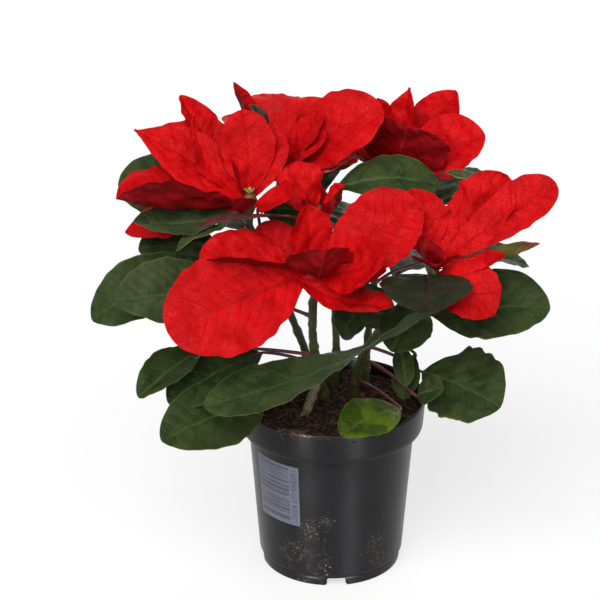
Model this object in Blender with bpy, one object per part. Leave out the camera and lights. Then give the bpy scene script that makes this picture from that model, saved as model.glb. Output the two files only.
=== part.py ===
"""A poinsettia in its nursery pot, as separate solids: pot, soil, leafy stems, heads of bracts and
their small true flowers. Lengths are in millimetres and angles in degrees until a mesh is made."""

import math
from types import SimpleNamespace

import bpy
import bmesh
import numpy as np

MM = 0.001

# Pot
POT_HEIGHT = 114.5
RIM_RADIUS = 60.0
RIM_BAND = 21.0
RIM_DRAFT = 1.2
RIM_SHOULDER = 3.6
RIM_CORNER = 0.7
LIP_ROUND = 1.4
FOOT_RADIUS = 44.5
FOOT_HEIGHT = 7.0
FOOT_STEP = 1.0
SKIRT_DRAFT = 0.6
BODY_FOOT_RADIUS = 46.3
BODY_TOP_RADIUS = 53.0
WALL = 1.6
FLOOR_HEIGHT = 8.0
FLOOR_THICKNESS = 2.0
CENTRE_PAD_RADIUS = 13.0
PAD_SLOPE = 2.0
POT_SEGMENTS = 32
DRAIN_HOLES = 4
DRAIN_RADIUS = 4.0
DRAIN_SIDES = 8
NOTCHES = 4
NOTCH_WIDTH = 12.0
NOTCH_HEIGHT = 7.1
NOTCH_DEPTH = 6.0
NOTCH_AZIMUTH = -86.0
CUT_PAST = 3.0
SHARP_ANGLE = 35.0

# Soil
SOIL_HEIGHT = 106.0
SOIL_GAP = 0.35
SOIL_RINGS = 4
SOIL_SEGMENTS = 16
SOIL_BUMP = 1.6
SOIL_CROWN = 1.5
SOIL_EDGE_DROP = 2.0
HOLE_DEPTH = 58.0
HOLE_GAP = 0.4
SEED = 5

# Stems, blades and flowers
STEM_TOP_RADIUS = 2.1
STEM_SIDES = 6
STALK_RADIUS = 1.0
STUB_RADII = (1.6, 3.0, 2.0)
STALK_SIDES = 3
STALK_INSIDE = 9.0
NECK = 8.0
BLADE_THICKNESS = 0.8
BLADE_END = 1.0
FOLD_FROM = 5.0
WAVE_SHIFT = 1.3
NO_CURL = 0.01
CORE_RADIUS = 2.6
CORE_BELLY = 5.0
CORE_SIDES = 8
CORE_HEIGHT = 13.0
SEAT_GAP = 0.3
ROOT_OUT = 3.4
ROOT_OUT_MOST = 3.9
ROOT_DROP = 6.0
FLOWER_REACH = 4.2
FLOWER_RADIUS = 2.2
FLOWER_SIZE = 1.3
FLOWER_HEIGHT = 5.0
FLOWER_SPREAD = 2.1
FLOWER_BASE = 1.6
BUD_SIDES = 4
FLOWERS_ROUND = 3


def blade(azimuth, rise, reach, width, **form):
    """A bract or leaf: the way its tip lies from its start, and how the surface bends on the way.
    Roll tips the upper face to the right as seen from the start, left and right fold the halves up."""
    made = SimpleNamespace(
        azimuth=azimuth, rise=rise, reach=reach, width=width, start=(0.0, 0.0, 0.0),
        widest=0.55, base=1.2, point=0.7, stem=0.0, roll=0.0, twist=0.0, arch=0.0, ess=0.0,
        sway=0.0, lean=0.0, left=8.0, right=8.0, cup=0.0, wave=1.0, waves=1.5, phase=0.0,
    )
    for name, value in form.items():
        setattr(made, name, value)
    return made


# Bracts of each head, from the core outward; starts are offsets from where they leave the core
HEADS = {
    "a": SimpleNamespace(flowers=True, place=(-51, -25, 262), bracts=[
        blade(197, 8, 80, 56, left=56, right=32, lean=0.1, arch=-5, widest=0.62, point=0.5, phase=1.0),
        blade(163, 29, 80, 38, left=15, right=30, roll=-35, arch=6, widest=0.42, point=1.1),
        blade(150, 26, 74, 42, left=12, right=12, roll=-30, arch=10),
        blade(150, 54, 60, 38, left=22, right=10, roll=-25, arch=-4, widest=0.55, base=1.3),
        blade(136, 44, 78, 30, left=40, right=45, roll=-30, twist=30, arch=-3),
        blade(100, 71, 55, 34, left=8, right=12, roll=5, arch=5, widest=0.6, point=0.55),
        blade(62, 56, 48, 30, left=15, right=20, roll=25, arch=4, widest=0.6, point=0.6),
        blade(318, 21, 34, 28, left=16, right=30, roll=40, arch=-3, widest=0.65, point=0.55),
        blade(174, 75, 28, 14, left=30, right=30),
        blade(172, -15, 77, 28, left=6, right=6, roll=-35, arch=4, start=(0, 2, -5)),
        blade(254, 26, 34, 26, left=35, right=35, arch=-6),
    ]),
    "b": SimpleNamespace(flowers=True, place=(-33, 22, 268), bracts=[
        blade(345, 35, 76, 46, left=8, right=16, roll=58, arch=8, widest=0.6, point=0.5, base=1.2),
        blade(186, 66, 61, 20, left=40, right=45, roll=-35, twist=30, arch=-4),
        blade(338, 55, 46, 30, left=10, right=10, roll=45, arch=3, widest=0.65),
        blade(325, 40, 42, 30, left=10, right=10, roll=45, arch=4, widest=0.6),
        blade(205, 70, 46, 24, left=10, right=10, roll=-25, arch=4, widest=0.6, start=(-1, -2, 0)),
        blade(268, 0, 24, 30, left=20, right=20, arch=-3, widest=0.6),
        blade(334, 16, 52, 42, left=15, right=15, roll=4, arch=-4, widest=0.6, start=(0, 0, -3)),
        blade(95, 26, 62, 42, left=12, right=12, arch=6, widest=0.58),
        blade(138, 30, 50, 34, left=12, right=12, arch=6, start=(0, 0, -3)),
        blade(58, 32, 60, 38, left=12, right=12, arch=6, start=(0, 0, -3)),
    ]),
    "c": SimpleNamespace(flowers=True, place=(38, 38, 254), bracts=[
        blade(286, 60, 52, 60, left=5, right=5, roll=-32, arch=-3, widest=0.76, point=0.4),
        blade(158, 82, 52, 30, left=16, right=16, widest=0.6),
        blade(52, 76, 57, 28, left=20, right=20, point=1.2),
        blade(15, 55, 66, 36, left=15, right=20, roll=40, arch=-3, widest=0.6),
        blade(348, 31, 64, 44, left=20, right=10, roll=45, arch=5, widest=0.6, point=0.6),
        blade(222, 40, 42, 34, left=20, right=20, roll=-20, widest=0.6),
        blade(277, 39, 37, 40, left=15, right=15, arch=-3, widest=0.65),
        blade(235, 12, 42, 34, left=15, right=15, arch=-3, widest=0.6, start=(0, 0, -3)),
        blade(95, 25, 58, 40, left=12, right=12, arch=6, start=(0, 0, -3)),
        blade(55, 14, 56, 38, left=12, right=12, arch=6, start=(0, 0, -4)),
        blade(140, 32, 50, 34, left=12, right=12, arch=5, start=(0, 0, -3)),
    ]),
    "d": SimpleNamespace(flowers=True, place=(-12, -52, 226), bracts=[
        blade(9, 35, 74, 48, left=10, right=14, roll=56, arch=-2, widest=0.62, point=0.5),
        blade(281, 46, 38, 44, left=20, right=20, arch=-6, widest=0.62, point=0.45),
        blade(324, 23, 52, 40, left=15, right=20, roll=50, arch=-3, widest=0.6),
        blade(209, -10, 97, 62, left=6, right=12, roll=-50, arch=8, widest=0.6, point=0.48),
        blade(334, -6, 66, 28, left=14, right=14, roll=14, arch=-8, base=0.9, start=(-15, -4, 1)),
        blade(198, 14, 70, 42, left=38, right=36, roll=-10, arch=3, widest=0.62, point=0.5),
        blade(158, 38, 42, 28, left=12, right=12, roll=-40, arch=-2, widest=0.6, point=0.5),
        blade(119, 83, 42, 30, left=18, right=18, widest=0.6),
        blade(340, 14, 44, 32, left=15, right=15, roll=20, arch=-3, start=(0, 0, -2)),
        blade(40, 22, 48, 32, left=12, right=12, arch=4, start=(0, 0, -2)),
    ]),
    "e": SimpleNamespace(flowers=True, place=(60, -50, 231), bracts=[
        blade(10, 34, 86, 31, left=6, right=12, roll=48, arch=4, widest=0.74, point=0.5),
        blade(24, 48, 68, 40, left=18, right=12, roll=35, arch=-3, widest=0.62, point=0.5),
        blade(254, 58, 29, 24, left=25, right=30, roll=-25, arch=-4, widest=0.6),
        blade(275, 22, 17, 34, left=30, right=30, arch=-3, widest=0.6, start=(0, 0, 2)),
        blade(338, 18, 44, 18, left=30, right=30, roll=30, arch=-7),
        blade(10, 11, 64, 26, left=15, right=15, roll=-38, arch=-3, widest=0.65, start=(0, 0, -3)),
        blade(320, -20, 46, 38, left=8, right=10, roll=35, arch=9, widest=0.6, start=(0, 0, -4)),
        blade(113, 55, 47, 32, left=14, right=14, roll=-10, arch=4, widest=0.6),
        blade(140, 30, 40, 30, left=14, right=14, arch=4, widest=0.6),
        blade(60, 25, 54, 36, left=12, right=12, arch=5, start=(0, 0, -3)),
    ]),
    "g": SimpleNamespace(flowers=False, place=(-9, -20, 252), bracts=[
        blade(166, 60, 34, 31, left=12, right=12, roll=-45, arch=5, widest=0.62, point=0.5),
        blade(8, 55, 22, 20, left=20, right=20, widest=0.6, point=0.6),
        blade(272, -2, 15, 14, left=15, right=15, arch=4, widest=0.6, point=0.6),
    ] + [
        blade(20 + 72 * k, 52, 18, 14, left=35, right=35, arch=-4, widest=0.65, point=0.5)
        for k in range(5)
    ]),
}


def outline(form, t):
    """The share of the full width at each point along a blade, narrow on its own short stalk."""
    along = np.clip((t - form.stem) / (1.0 - form.stem), 0.0, 1.0)
    before = np.clip((form.widest - along) / form.widest, 0.0, 1.0)
    after = np.clip((along - form.widest) / (1.0 - form.widest), 0.0, 1.0)
    return np.where(along < form.widest, (1 - before**2) ** form.base, (1 - after**2) ** form.point)


def blade_frame(form):
    """The blade's own axes: along its chord, out of its upper face and to its right."""
    azimuth = math.radians(form.azimuth)
    rise = math.radians(form.rise)
    roll = math.radians(form.roll)
    level = np.array([math.cos(azimuth), math.sin(azimuth), 0.0])
    up = np.array([0.0, 0.0, 1.0])
    chord = level * math.cos(rise) + up * math.sin(rise)
    face = up * math.cos(rise) - level * math.sin(rise)
    right = np.cross(chord, face)
    turned_face = face * math.cos(roll) + right * math.sin(roll)
    turned_right = right * math.cos(roll) - face * math.sin(roll)
    return chord, turned_face, turned_right


def blade_surface(form, start, rows, columns):
    """Points of the blade's middle surface, one row for each step along it, from left edge to right."""
    chord, face, right = blade_frame(form)
    t = 0.5 - 0.5 * np.cos(np.pi * np.arange(rows + 1) / rows)
    across = np.linspace(-1.0, 1.0, columns + 1)
    hump = 4 * t * (1 - t)
    swing = np.sin(2 * np.pi * t)
    rib = (
        np.asarray(start, float)
        + np.outer(t * form.reach, chord)
        + np.outer(form.arch * hump + form.ess * swing, face)
        + np.outer(form.sway * hump, right)
    )
    tangent = np.gradient(rib, axis=0)
    tangent /= np.linalg.norm(tangent, axis=1, keepdims=True)
    normal = face - tangent * (tangent @ face)[:, None]
    normal /= np.linalg.norm(normal, axis=1, keepdims=True)
    side = np.cross(tangent, normal)
    turn = np.radians(form.twist * (t - 0.5))[:, None]
    normal, side = normal * np.cos(turn) + side * np.sin(turn), side * np.cos(turn) - normal * np.sin(turn)
    half = np.maximum(0.5 * form.width * outline(form, t), BLADE_END)
    out = np.abs(across)
    fold = np.radians(np.where(across < 0, form.left, form.right))
    fold = np.outer(np.clip(half / FOLD_FROM, 0.0, 1.0), fold)
    curl = math.radians(form.cup) or NO_CURL
    share = 1.0 + form.lean * np.sign(across)
    lateral = share * np.sign(across) * (np.sin(fold + curl * out) - np.sin(fold)) / curl
    lift = share * (np.cos(fold) - np.cos(fold + curl * out)) / curl
    shift = np.where(across < 0, 0.0, WAVE_SHIFT)
    ripple = np.sin(2 * np.pi * form.waves * t[:, None] + form.phase + shift[None, :])
    ripple *= form.wave * out[None, :] ** 1.5 * np.sqrt(np.sin(np.pi * t))[:, None]
    return (
        rib[:, None, :]
        + (half[:, None] * lateral)[..., None] * side[:, None, :]
        + (half[:, None] * lift + ripple)[..., None] * normal[:, None, :]
    )


def coarse_blade(form, start):
    """The blade as a solid of few faces: fewer rows on a short one, two columns on a narrow one."""
    rows = 6 if form.reach > 70 else 5 if form.reach > 50 else 4
    columns = 4 if form.width >= 56 else 2
    return thick_sheet(blade_surface(form, start, rows, columns), BLADE_THICKNESS)


def thick_sheet(points, thickness):
    """A closed solid round a grid of points, split into triangles alike on both faces."""
    rows, columns = points.shape[0] - 1, points.shape[1] - 1
    normal = np.cross(np.gradient(points, axis=1), np.gradient(points, axis=0))
    normal /= np.maximum(np.linalg.norm(normal, axis=2, keepdims=True), 1e-9)
    above = (points + normal * thickness / 2).reshape(-1, 3)
    below = (points - normal * thickness / 2).reshape(-1, 3)
    count = len(above)
    index = np.arange(count).reshape(rows + 1, columns + 1)
    faces = []
    for i in range(rows):
        for j in range(columns):
            a, b, c, d = index[i, j], index[i, j + 1], index[i + 1, j + 1], index[i + 1, j]
            top = [(a, b, c), (a, c, d)] if (j < columns / 2) else [(a, b, d), (b, c, d)]
            faces += top
            faces += [tuple(count + k for k in reversed(f)) for f in top]
    rim = list(index[0, :]) + list(index[1:, -1]) + list(index[-1, -2::-1]) + list(index[-2:0:-1, 0])
    for a, b in zip(rim, rim[1:] + rim[:1]):
        faces += [(b, a, count + a), (b, count + a, count + b)]
    return np.vstack([above, below]), faces


def smooth_path(points, steps):
    """A smooth curve through the points, with the given number of steps between each two."""
    points = np.asarray(points, float)
    padded = np.vstack([2 * points[0] - points[1], points, 2 * points[-1] - points[-2]])
    out = []
    for i in range(len(points) - 1):
        p0, p1, p2, p3 = padded[i:i + 4]
        for t in np.linspace(0, 1, steps, endpoint=False):
            out.append(0.5 * (2 * p1 + (p2 - p0) * t + (2 * p0 - 5 * p1 + 4 * p2 - p3) * t**2
                              + (3 * p1 - p0 - 3 * p2 + p3) * t**3))
    return np.array(out + [points[-1]])


def tube(path, radii, sides):
    """A closed tube along a path, with flat ends."""
    path = np.asarray(path, float)
    radii = np.broadcast_to(radii, len(path))
    tangent = np.gradient(path, axis=0)
    tangent /= np.linalg.norm(tangent, axis=1, keepdims=True)
    across = np.cross(tangent[0], (0.31, 0.95, 0.05))
    rings = []
    for point, way, radius in zip(path, tangent, radii):
        across = across - way * (across @ way)
        across /= np.linalg.norm(across)
        other = np.cross(way, across)
        turns = 2 * np.pi * np.arange(sides) / sides
        rings.append(point + radius * (np.outer(np.cos(turns), across) + np.outer(np.sin(turns), other)))
    verts = np.vstack(rings)
    faces = []
    for i in range(len(path) - 1):
        for k in range(sides):
            a, b = i * sides + k, i * sides + (k + 1) % sides
            faces += [(a, b, b + sides), (a, b + sides, a + sides)]
    faces.append(tuple(range(sides))[::-1])
    last = (len(path) - 1) * sides
    faces.append(tuple(last + k for k in range(sides)))
    return verts, faces


def material(name, colour, roughness, metallic=0.0):
    made = bpy.data.materials.new(name)
    made.use_nodes = True
    shader = made.node_tree.nodes["Principled BSDF"]
    shader.inputs["Base Color"].default_value = (*colour, 1.0)
    shader.inputs["Roughness"].default_value = roughness
    shader.inputs["Metallic"].default_value = metallic
    return made


def mesh_object(name, verts, faces, finish):
    mesh = bpy.data.meshes.new(name)
    points = [tuple(float(c) * MM for c in v) for v in verts]
    mesh.from_pydata(points, [], [tuple(map(int, f)) for f in faces])
    mesh.validate()
    bm = bmesh.new()
    bm.from_mesh(mesh)
    bmesh.ops.recalc_face_normals(bm, faces=bm.faces)
    bm.to_mesh(mesh)
    bm.free()
    mesh.materials.append(finish)
    made = bpy.data.objects.new(name, mesh)
    bpy.context.scene.collection.objects.link(made)
    return made


def apply_modifier(made, modifier):
    with bpy.context.temp_override(object=made, active_object=made, selected_objects=[made]):
        bpy.ops.object.modifier_apply(modifier=modifier.name)


def shell_of(face, left):
    """The faces joined to one face by edges that only two faces share, taken out of those left."""
    left.remove(face)
    shell = [face]
    for member in shell:
        for edge in member.edges:
            pair = edge.link_faces if len(edge.link_faces) == 2 else ()
            for other in pair:
                if other in left:
                    left.remove(other)
                    shell.append(other)
    return shell


def keep_main_body(made):
    """Fills sealed hollows and drops loose scraps that a union leaves, by keeping the largest shell."""
    bm = bmesh.new()
    bm.from_mesh(made.data)
    left = set(bm.faces)
    shells = []
    while left:
        shells.append(shell_of(next(iter(left)), left))
    shells.sort(key=len)
    for shell in shells[:-1]:
        bmesh.ops.delete(bm, geom=shell, context="FACES")
    bm.to_mesh(made.data)
    bm.free()


def fuse(name, shapes, finish, solver="EXACT"):
    """One solid from overlapping shapes, by a Boolean union on a collection."""
    made = mesh_object(name, *shapes[0], finish)
    if len(shapes) == 1:
        return made
    others = bpy.data.collections.new(name + "_repeats")
    bpy.context.scene.collection.children.link(others)
    for verts, faces in shapes[1:]:
        piece = mesh_object(name + "_piece", verts, faces, finish)
        bpy.context.scene.collection.objects.unlink(piece)
        others.objects.link(piece)
    union = made.modifiers.new("Union", "BOOLEAN")
    union.operation = "UNION"
    union.operand_type = "COLLECTION"
    union.collection = others
    union.solver = solver
    bpy.context.view_layer.update()
    apply_modifier(made, union)
    for piece in list(others.objects):
        bpy.data.objects.remove(piece)
    bpy.data.collections.remove(others)
    keep_main_body(made)
    smooth(made)
    return made


def clear_scene():
    for old in list(bpy.data.objects):
        bpy.data.objects.remove(old)


def lathe(profile, segments):
    """A closed solid of revolution round the z axis, from a profile that starts and ends on it."""
    verts = [(0.0, 0.0, profile[0][1])]
    turns = 2 * np.pi * np.arange(segments) / segments
    for radius, height in profile[1:-1]:
        verts += [(radius * math.cos(a), radius * math.sin(a), height) for a in turns]
    verts.append((0.0, 0.0, profile[-1][1]))
    last = len(verts) - 1
    faces = []
    for k in range(segments):
        n = (k + 1) % segments
        faces.append((0, 1 + n, 1 + k))
        for ring in range(len(profile) - 3):
            a = 1 + ring * segments
            faces.append((a + k, a + n, a + segments + n, a + segments + k))
        faces.append((last - segments + k, last - segments + n, last))
    return np.array(verts), faces


def cylinder(x, y, low, high, radius, sides):
    return tube([(x, y, low), (x, y, high)], radius, sides)


def box(centre, size, azimuth):
    """A box whose x side points along the azimuth."""
    a = math.radians(azimuth)
    verts = []
    for sx, sy, sz in ((i, j, k) for i in (-0.5, 0.5) for j in (-0.5, 0.5) for k in (-0.5, 0.5)):
        dx, dy = sx * size[0], sy * size[1]
        verts.append((centre[0] + dx * math.cos(a) - dy * math.sin(a),
                      centre[1] + dx * math.sin(a) + dy * math.cos(a), centre[2] + sz * size[2]))
    faces = [(0, 1, 3, 2), (4, 6, 7, 5), (0, 4, 5, 1), (2, 3, 7, 6), (0, 2, 6, 4), (1, 5, 7, 3)]
    return np.array(verts), faces


def cut(made, shapes):
    """Cuts the shapes out of an object, one Boolean for each."""
    for verts, faces in shapes:
        cutter = mesh_object(made.name + "_cutter", verts, faces, made.data.materials[0])
        cutter.hide_render = True
        cutter.display_type = "WIRE"
        difference = made.modifiers.new("Cut", "BOOLEAN")
        difference.object = cutter
        difference.operation = "DIFFERENCE"
        bpy.context.view_layer.update()
        apply_modifier(made, difference)
        bpy.data.objects.remove(cutter)


def inner_wall():
    """The inside of the pot from its floor to its lip, as radius and height."""
    return [
        (CENTRE_PAD_RADIUS - PAD_SLOPE / 2, WALL),
        (CENTRE_PAD_RADIUS + PAD_SLOPE / 2, FLOOR_HEIGHT),
        (BODY_FOOT_RADIUS - WALL, FLOOR_HEIGHT),
        (BODY_TOP_RADIUS - WALL, POT_HEIGHT - RIM_BAND),
        (RIM_RADIUS - WALL - RIM_DRAFT, POT_HEIGHT - RIM_BAND + RIM_SHOULDER + WALL),
        (RIM_RADIUS - WALL, POT_HEIGHT - LIP_ROUND),
    ]


def make_pot():
    plastic = material("pot_plastic", (0.012, 0.012, 0.016), 0.38)
    band = POT_HEIGHT - RIM_BAND
    outer = [
        (0.0, 0.0),
        (CENTRE_PAD_RADIUS, 0.0),
        (CENTRE_PAD_RADIUS + PAD_SLOPE, FLOOR_HEIGHT - FLOOR_THICKNESS),
        (FOOT_RADIUS - WALL - SKIRT_DRAFT, FLOOR_HEIGHT - FLOOR_THICKNESS),
        (FOOT_RADIUS - WALL, 0.0),
        (FOOT_RADIUS, 0.0),
        (FOOT_RADIUS + FOOT_STEP / 2, FOOT_HEIGHT),
        (BODY_FOOT_RADIUS, FOOT_HEIGHT + FOOT_STEP),
        (BODY_TOP_RADIUS, band - RIM_CORNER),
        (RIM_RADIUS - RIM_DRAFT - RIM_CORNER, band + RIM_CORNER),
        (RIM_RADIUS - RIM_DRAFT, band + RIM_SHOULDER),
        (RIM_RADIUS, POT_HEIGHT - LIP_ROUND),
        (RIM_RADIUS - WALL / 2, POT_HEIGHT),
    ]
    profile = outer + inner_wall()[::-1] + [(0.0, WALL)]
    pot = mesh_object("pot", *lathe(profile, POT_SEGMENTS), plastic)
    cutters = []
    for k in range(NOTCHES):
        azimuth = NOTCH_AZIMUTH + 360.0 * k / NOTCHES
        a = math.radians(azimuth)
        low = -CUT_PAST
        high = NOTCH_HEIGHT - SKIRT_DRAFT - FOOT_STEP
        centre = (FOOT_RADIUS * math.cos(a), FOOT_RADIUS * math.sin(a), (low + high) / 2)
        cutters.append(box(centre, (NOTCH_DEPTH, NOTCH_WIDTH, high - low), azimuth))
    ring = 0.5 * (CENTRE_PAD_RADIUS + FOOT_RADIUS)
    for k in range(DRAIN_HOLES):
        a = 2 * np.pi * (k + 0.5) / DRAIN_HOLES
        x, y = ring * math.cos(a), ring * math.sin(a)
        low = FLOOR_HEIGHT - FLOOR_THICKNESS - CUT_PAST
        cutters.append(cylinder(x, y, low, FLOOR_HEIGHT + CUT_PAST, DRAIN_RADIUS, DRAIN_SIDES))
    cut(pot, cutters)
    smooth(pot)


def smooth(made):
    made.data.shade_smooth()
    made.data.set_sharp_from_angle(angle=math.radians(SHARP_ANGLE))


def make_soil():
    """The root ball: it fills the pot to just below the rim, with a lumpy top and a hole for each stem."""
    peat = material("peat", (0.035, 0.018, 0.010), 0.95)
    side = [(r - SOIL_GAP, z + (SOIL_GAP if r < BODY_FOOT_RADIUS else 0.0)) for r, z in inner_wall()[:-1]]
    rim = RIM_RADIUS - WALL - RIM_DRAFT
    profile = [(0.0, WALL + SOIL_GAP)] + side + [(rim, SOIL_HEIGHT - SOIL_EDGE_DROP)]
    profile += [(rim * (1 - k / SOIL_RINGS), SOIL_HEIGHT) for k in range(SOIL_RINGS)]
    profile.append((0.0, SOIL_HEIGHT))
    verts, faces = lathe(profile, SOIL_SEGMENTS)
    draw = np.random.default_rng(SEED)
    radius = np.hypot(verts[:, 0], verts[:, 1])
    top = verts[:, 2] >= SOIL_HEIGHT
    crown = SOIL_CROWN * np.cos(radius[top] / rim * np.pi / 2)
    verts[top, 2] += draw.uniform(-SOIL_BUMP, SOIL_BUMP, top.sum()) + crown
    soil = mesh_object("soil", verts, faces, peat)
    holes = []
    for stem in STEMS.values():
        x, y = stem.hole
        gap = stem.radius + HOLE_GAP
        holes.append(cylinder(x, y, SOIL_HEIGHT - HOLE_DEPTH, SOIL_HEIGHT + 20.0, gap, 2 * STEM_SIDES))
    cut(soil, holes)


def at_height(path, height):
    """The point of a rising path at a height."""
    return np.array([np.interp(height, path[:, 2], path[:, k]) for k in range(3)])


def stem_shapes(stem):
    """A stem that stands in its hole, the branches off it, and its leaves on their stalks."""
    x, y = stem.hole
    foot = SOIL_HEIGHT - HOLE_DEPTH + 2 * SOIL_GAP
    head = HEADS[stem.head].place
    seat = np.add(head, (0, 0, -CORE_HEIGHT - SEAT_GAP))
    below = np.add(seat, (0, 0, -NECK))
    rise = smooth_path([(x, y, SOIL_HEIGHT + 2.0), *stem.way, below], 2)
    paths = [np.vstack([(x, y, foot), rise, seat])]
    radii = [np.interp(paths[0][:, 2], (SOIL_HEIGHT, seat[2] - 20), (stem.radius, STEM_TOP_RADIUS))]
    for way, branch_head in stem.branches:
        end = np.add(HEADS[branch_head].place, (0, 0, -CORE_HEIGHT - SEAT_GAP))
        paths.append(np.vstack([smooth_path([*way, np.add(end, (0, 0, -NECK))], 3), end]))
        radii.append(np.full(len(paths[-1]), STEM_TOP_RADIUS))
    for stub in stem.stubs:
        paths.append(np.array(stub, float))
        radii.append(np.array(STUB_RADII))
    shapes = [tube(path, radius, STEM_SIDES) for path, radius in zip(paths, radii)]
    for leaf in stem.leaves:
        shapes.append(leaf_stalk(leaf, paths[leaf.branch]))
        shapes.append(coarse_blade(leaf, leaf.start))
    return shapes


def leaf_stalk(leaf, path):
    """The stalk from the stem to the start of the blade, and a little way along its rib."""
    root = at_height(path, leaf.node)
    chord, face, _ = blade_frame(leaf)
    start = np.array(leaf.start, float)
    inside = start + chord * min(STALK_INSIDE, 0.2 * leaf.reach) + face * leaf.arch * 0.5
    middle = 0.5 * (root + start) + (0, 0, leaf.stalk_rise)
    return tube([root, middle, start, inside], STALK_RADIUS, STALK_SIDES)


def leaf(node, start, azimuth, rise, reach, width, **form):
    """A green leaf: the height on the stem where its stalk leaves, the start of its blade, and the blade."""
    settings = {"node": node, "start": start, "branch": 0, "stalk_rise": 2.0, "point": 0.62, "arch": 3.0}
    settings.update(form)
    return blade(azimuth, rise, reach, width, **settings)


STEMS = {
    "a": SimpleNamespace(hole=(-18, 14), radius=2.8, head="a", stubs=[], branches=[],
                         way=[(-16, 8, 136), (-23, 0, 162), (-38, -12, 205)], leaves=[
        leaf(200, (-77, -14, 213), 206, -18, 82, 42, roll=-35, arch=8),
        leaf(208, (-70, 4, 216), 195, 2, 52, 38, roll=-30, arch=5),
        leaf(230, (-70, 24, 237), 188, 14, 66, 46, roll=-45, arch=4, point=0.5),
        leaf(238, (-58, -28, 250), 193, 0, 64, 28, roll=-22, arch=-4, left=14),
        leaf(226, (-56, -30, 244), 212, -10, 46, 16, roll=10, arch=4, wave=1.6),
        leaf(238, (-56, -13, 247), 117, 44, 66, 26, arch=-3),
        leaf(190, (-48, 22, 214), 140, -2, 74, 44, arch=8),
        leaf(222, (-46, 2, 242), 3, -4, 44, 34, roll=68, arch=2),
    ]),
    "b": SimpleNamespace(hole=(2, 24), radius=2.6, head="b", stubs=[], branches=[],
                         way=[(3, 14, 140), (0, 14, 180), (-15, 17, 224)], leaves=[
        leaf(215, (-6, 46, 232), 98, 8, 78, 44, arch=8),
        leaf(190, (6, 52, 200), 75, -6, 76, 46, arch=8),
        leaf(175, (-14, 48, 182), 118, -8, 72, 44, arch=8),
    ]),
    "c": SimpleNamespace(hole=(22, 26), radius=2.6, head="c", stubs=[], branches=[],
                         way=[(24, 24, 150), (30, 30, 200)], leaves=[
        leaf(226, (68, 3, 264), 345, -12, 25, 16, arch=3),
        leaf(200, (58, 48, 220), 38, 4, 72, 44, arch=8),
        leaf(180, (52, 34, 190), 8, -4, 76, 42, arch=8),
        leaf(174, (38, 15, 176), 218, -8, 32, 32, roll=-35, arch=4),
        leaf(165, (40, 56, 172), 62, -10, 70, 44, arch=7),
    ]),
    "d": SimpleNamespace(hole=(-4, 2), radius=3.9, head="d",
                         stubs=[[(-8, -6, 130), (-12, -16, 122), (-17, -27, 113)]],
                         branches=[([(-12, -30, 174), (-11, -24, 200)], "g")],
                         way=[(-9, -9, 135), (-12, -25, 164), (-13, -44, 194)], leaves=[
        leaf(186, (-56, -36, 198), 209, 10, 86, 48, roll=-38, arch=6),
        leaf(150, (-80, -30, 160), 224, -16, 56, 28, roll=-25, arch=5, left=30, right=25),
        leaf(140, (-43, -20, 153), 214, -13, 72, 40, roll=-28, arch=6),
        leaf(124, (-40, -32, 126), 220, -1, 84, 46, roll=-36, arch=6),
        leaf(231, (-25, -42, 253), 200, 1, 62, 16, roll=10, arch=3, branch=1),
        leaf(224, (0, -4, 256), 2, 2, 66, 34, roll=30, arch=9, branch=1),
    ]),
    "e": SimpleNamespace(hole=(14, 10), radius=3.0, head="e", stubs=[], branches=[],
                         way=[(18, 3, 136), (30, -12, 165), (46, -32, 195)], leaves=[
        leaf(198, (68, -50, 200), 198, -17, 160, 41, roll=10, twist=-100, arch=-8, widest=0.7, base=0.6),
        leaf(184, (60, -28, 182), 345, 10, 76, 54, roll=32, arch=5),
        leaf(150, (56, -18, 139), 327, -10, 58, 54, roll=30, arch=5, wave=1.5, waves=3),
        leaf(140, (52, -48, 136), 320, 31, 24, 20, roll=50, arch=2),
        leaf(158, (52, -17, 151), 241, -56, 30, 18, arch=2),
        leaf(170, (42, -20, 160), 279, -43, 30, 14, arch=2),
        leaf(122, (43, -28, 118), 225, 0, 54, 32, roll=-22, arch=5),
        leaf(170, (24, -8, 186), 201, -54, 32, 26, roll=-20, arch=4),
        leaf(170, (37, -30, 181), 204, -4, 20, 14, roll=-30, arch=2),
        leaf(182, (55, -22, 186), 238, -26, 40, 34, roll=-20, arch=5),
        leaf(210, (57, -58, 222), 264, -10, 42, 56, arch=4),
    ]),
}


def bract_start(head, bract):
    """Where a bract leaves the core's side: a steep one further out, to pass clear of the flowers."""
    a = math.radians(bract.azimuth)
    steep = math.radians(max(bract.rise, 1.0))
    out = np.clip(FLOWER_REACH - ROOT_DROP / math.tan(steep), ROOT_OUT, ROOT_OUT_MOST)
    return np.add(head.place, (out * math.cos(a), out * math.sin(a), -ROOT_DROP)) + bract.start


def head_shapes(head):
    """The core that a head's bracts stand on, and the bracts."""
    profile = [
        (0.0, -CORE_HEIGHT),
        (CORE_RADIUS, -CORE_HEIGHT),
        (CORE_BELLY, -ROOT_DROP - 1.0),
        (CORE_BELLY, -ROOT_DROP + 1.0),
        (CORE_RADIUS, 0.0),
        (0.0, 0.0),
    ]
    core, faces = lathe(profile, CORE_SIDES)
    shapes = [(core + head.place, faces)]
    for bract in head.bracts:
        shapes.append(coarse_blade(bract, bract_start(head, bract)))
    return shapes


def make_heads():
    red = material("bract_red", (0.62, 0.008, 0.012), 0.5)
    for key, head in HEADS.items():
        fuse("bracts_" + key, head_shapes(head), red)


def make_stems():
    green = material("leaf_green", (0.03, 0.085, 0.022), 0.45)
    for key, stem in STEMS.items():
        fuse("leafy_stem_" + key, stem_shapes(stem), green)


def bud(x, y, z, radius, height):
    """A small egg-shaped flower with a blunt top."""
    profile = [(0.0, z), (radius * 0.8, z), (radius, z + 0.6 * height), (0.0, z + height)]
    verts, faces = lathe(profile, BUD_SIDES)
    return verts + (x, y, 0.0), faces


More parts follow.
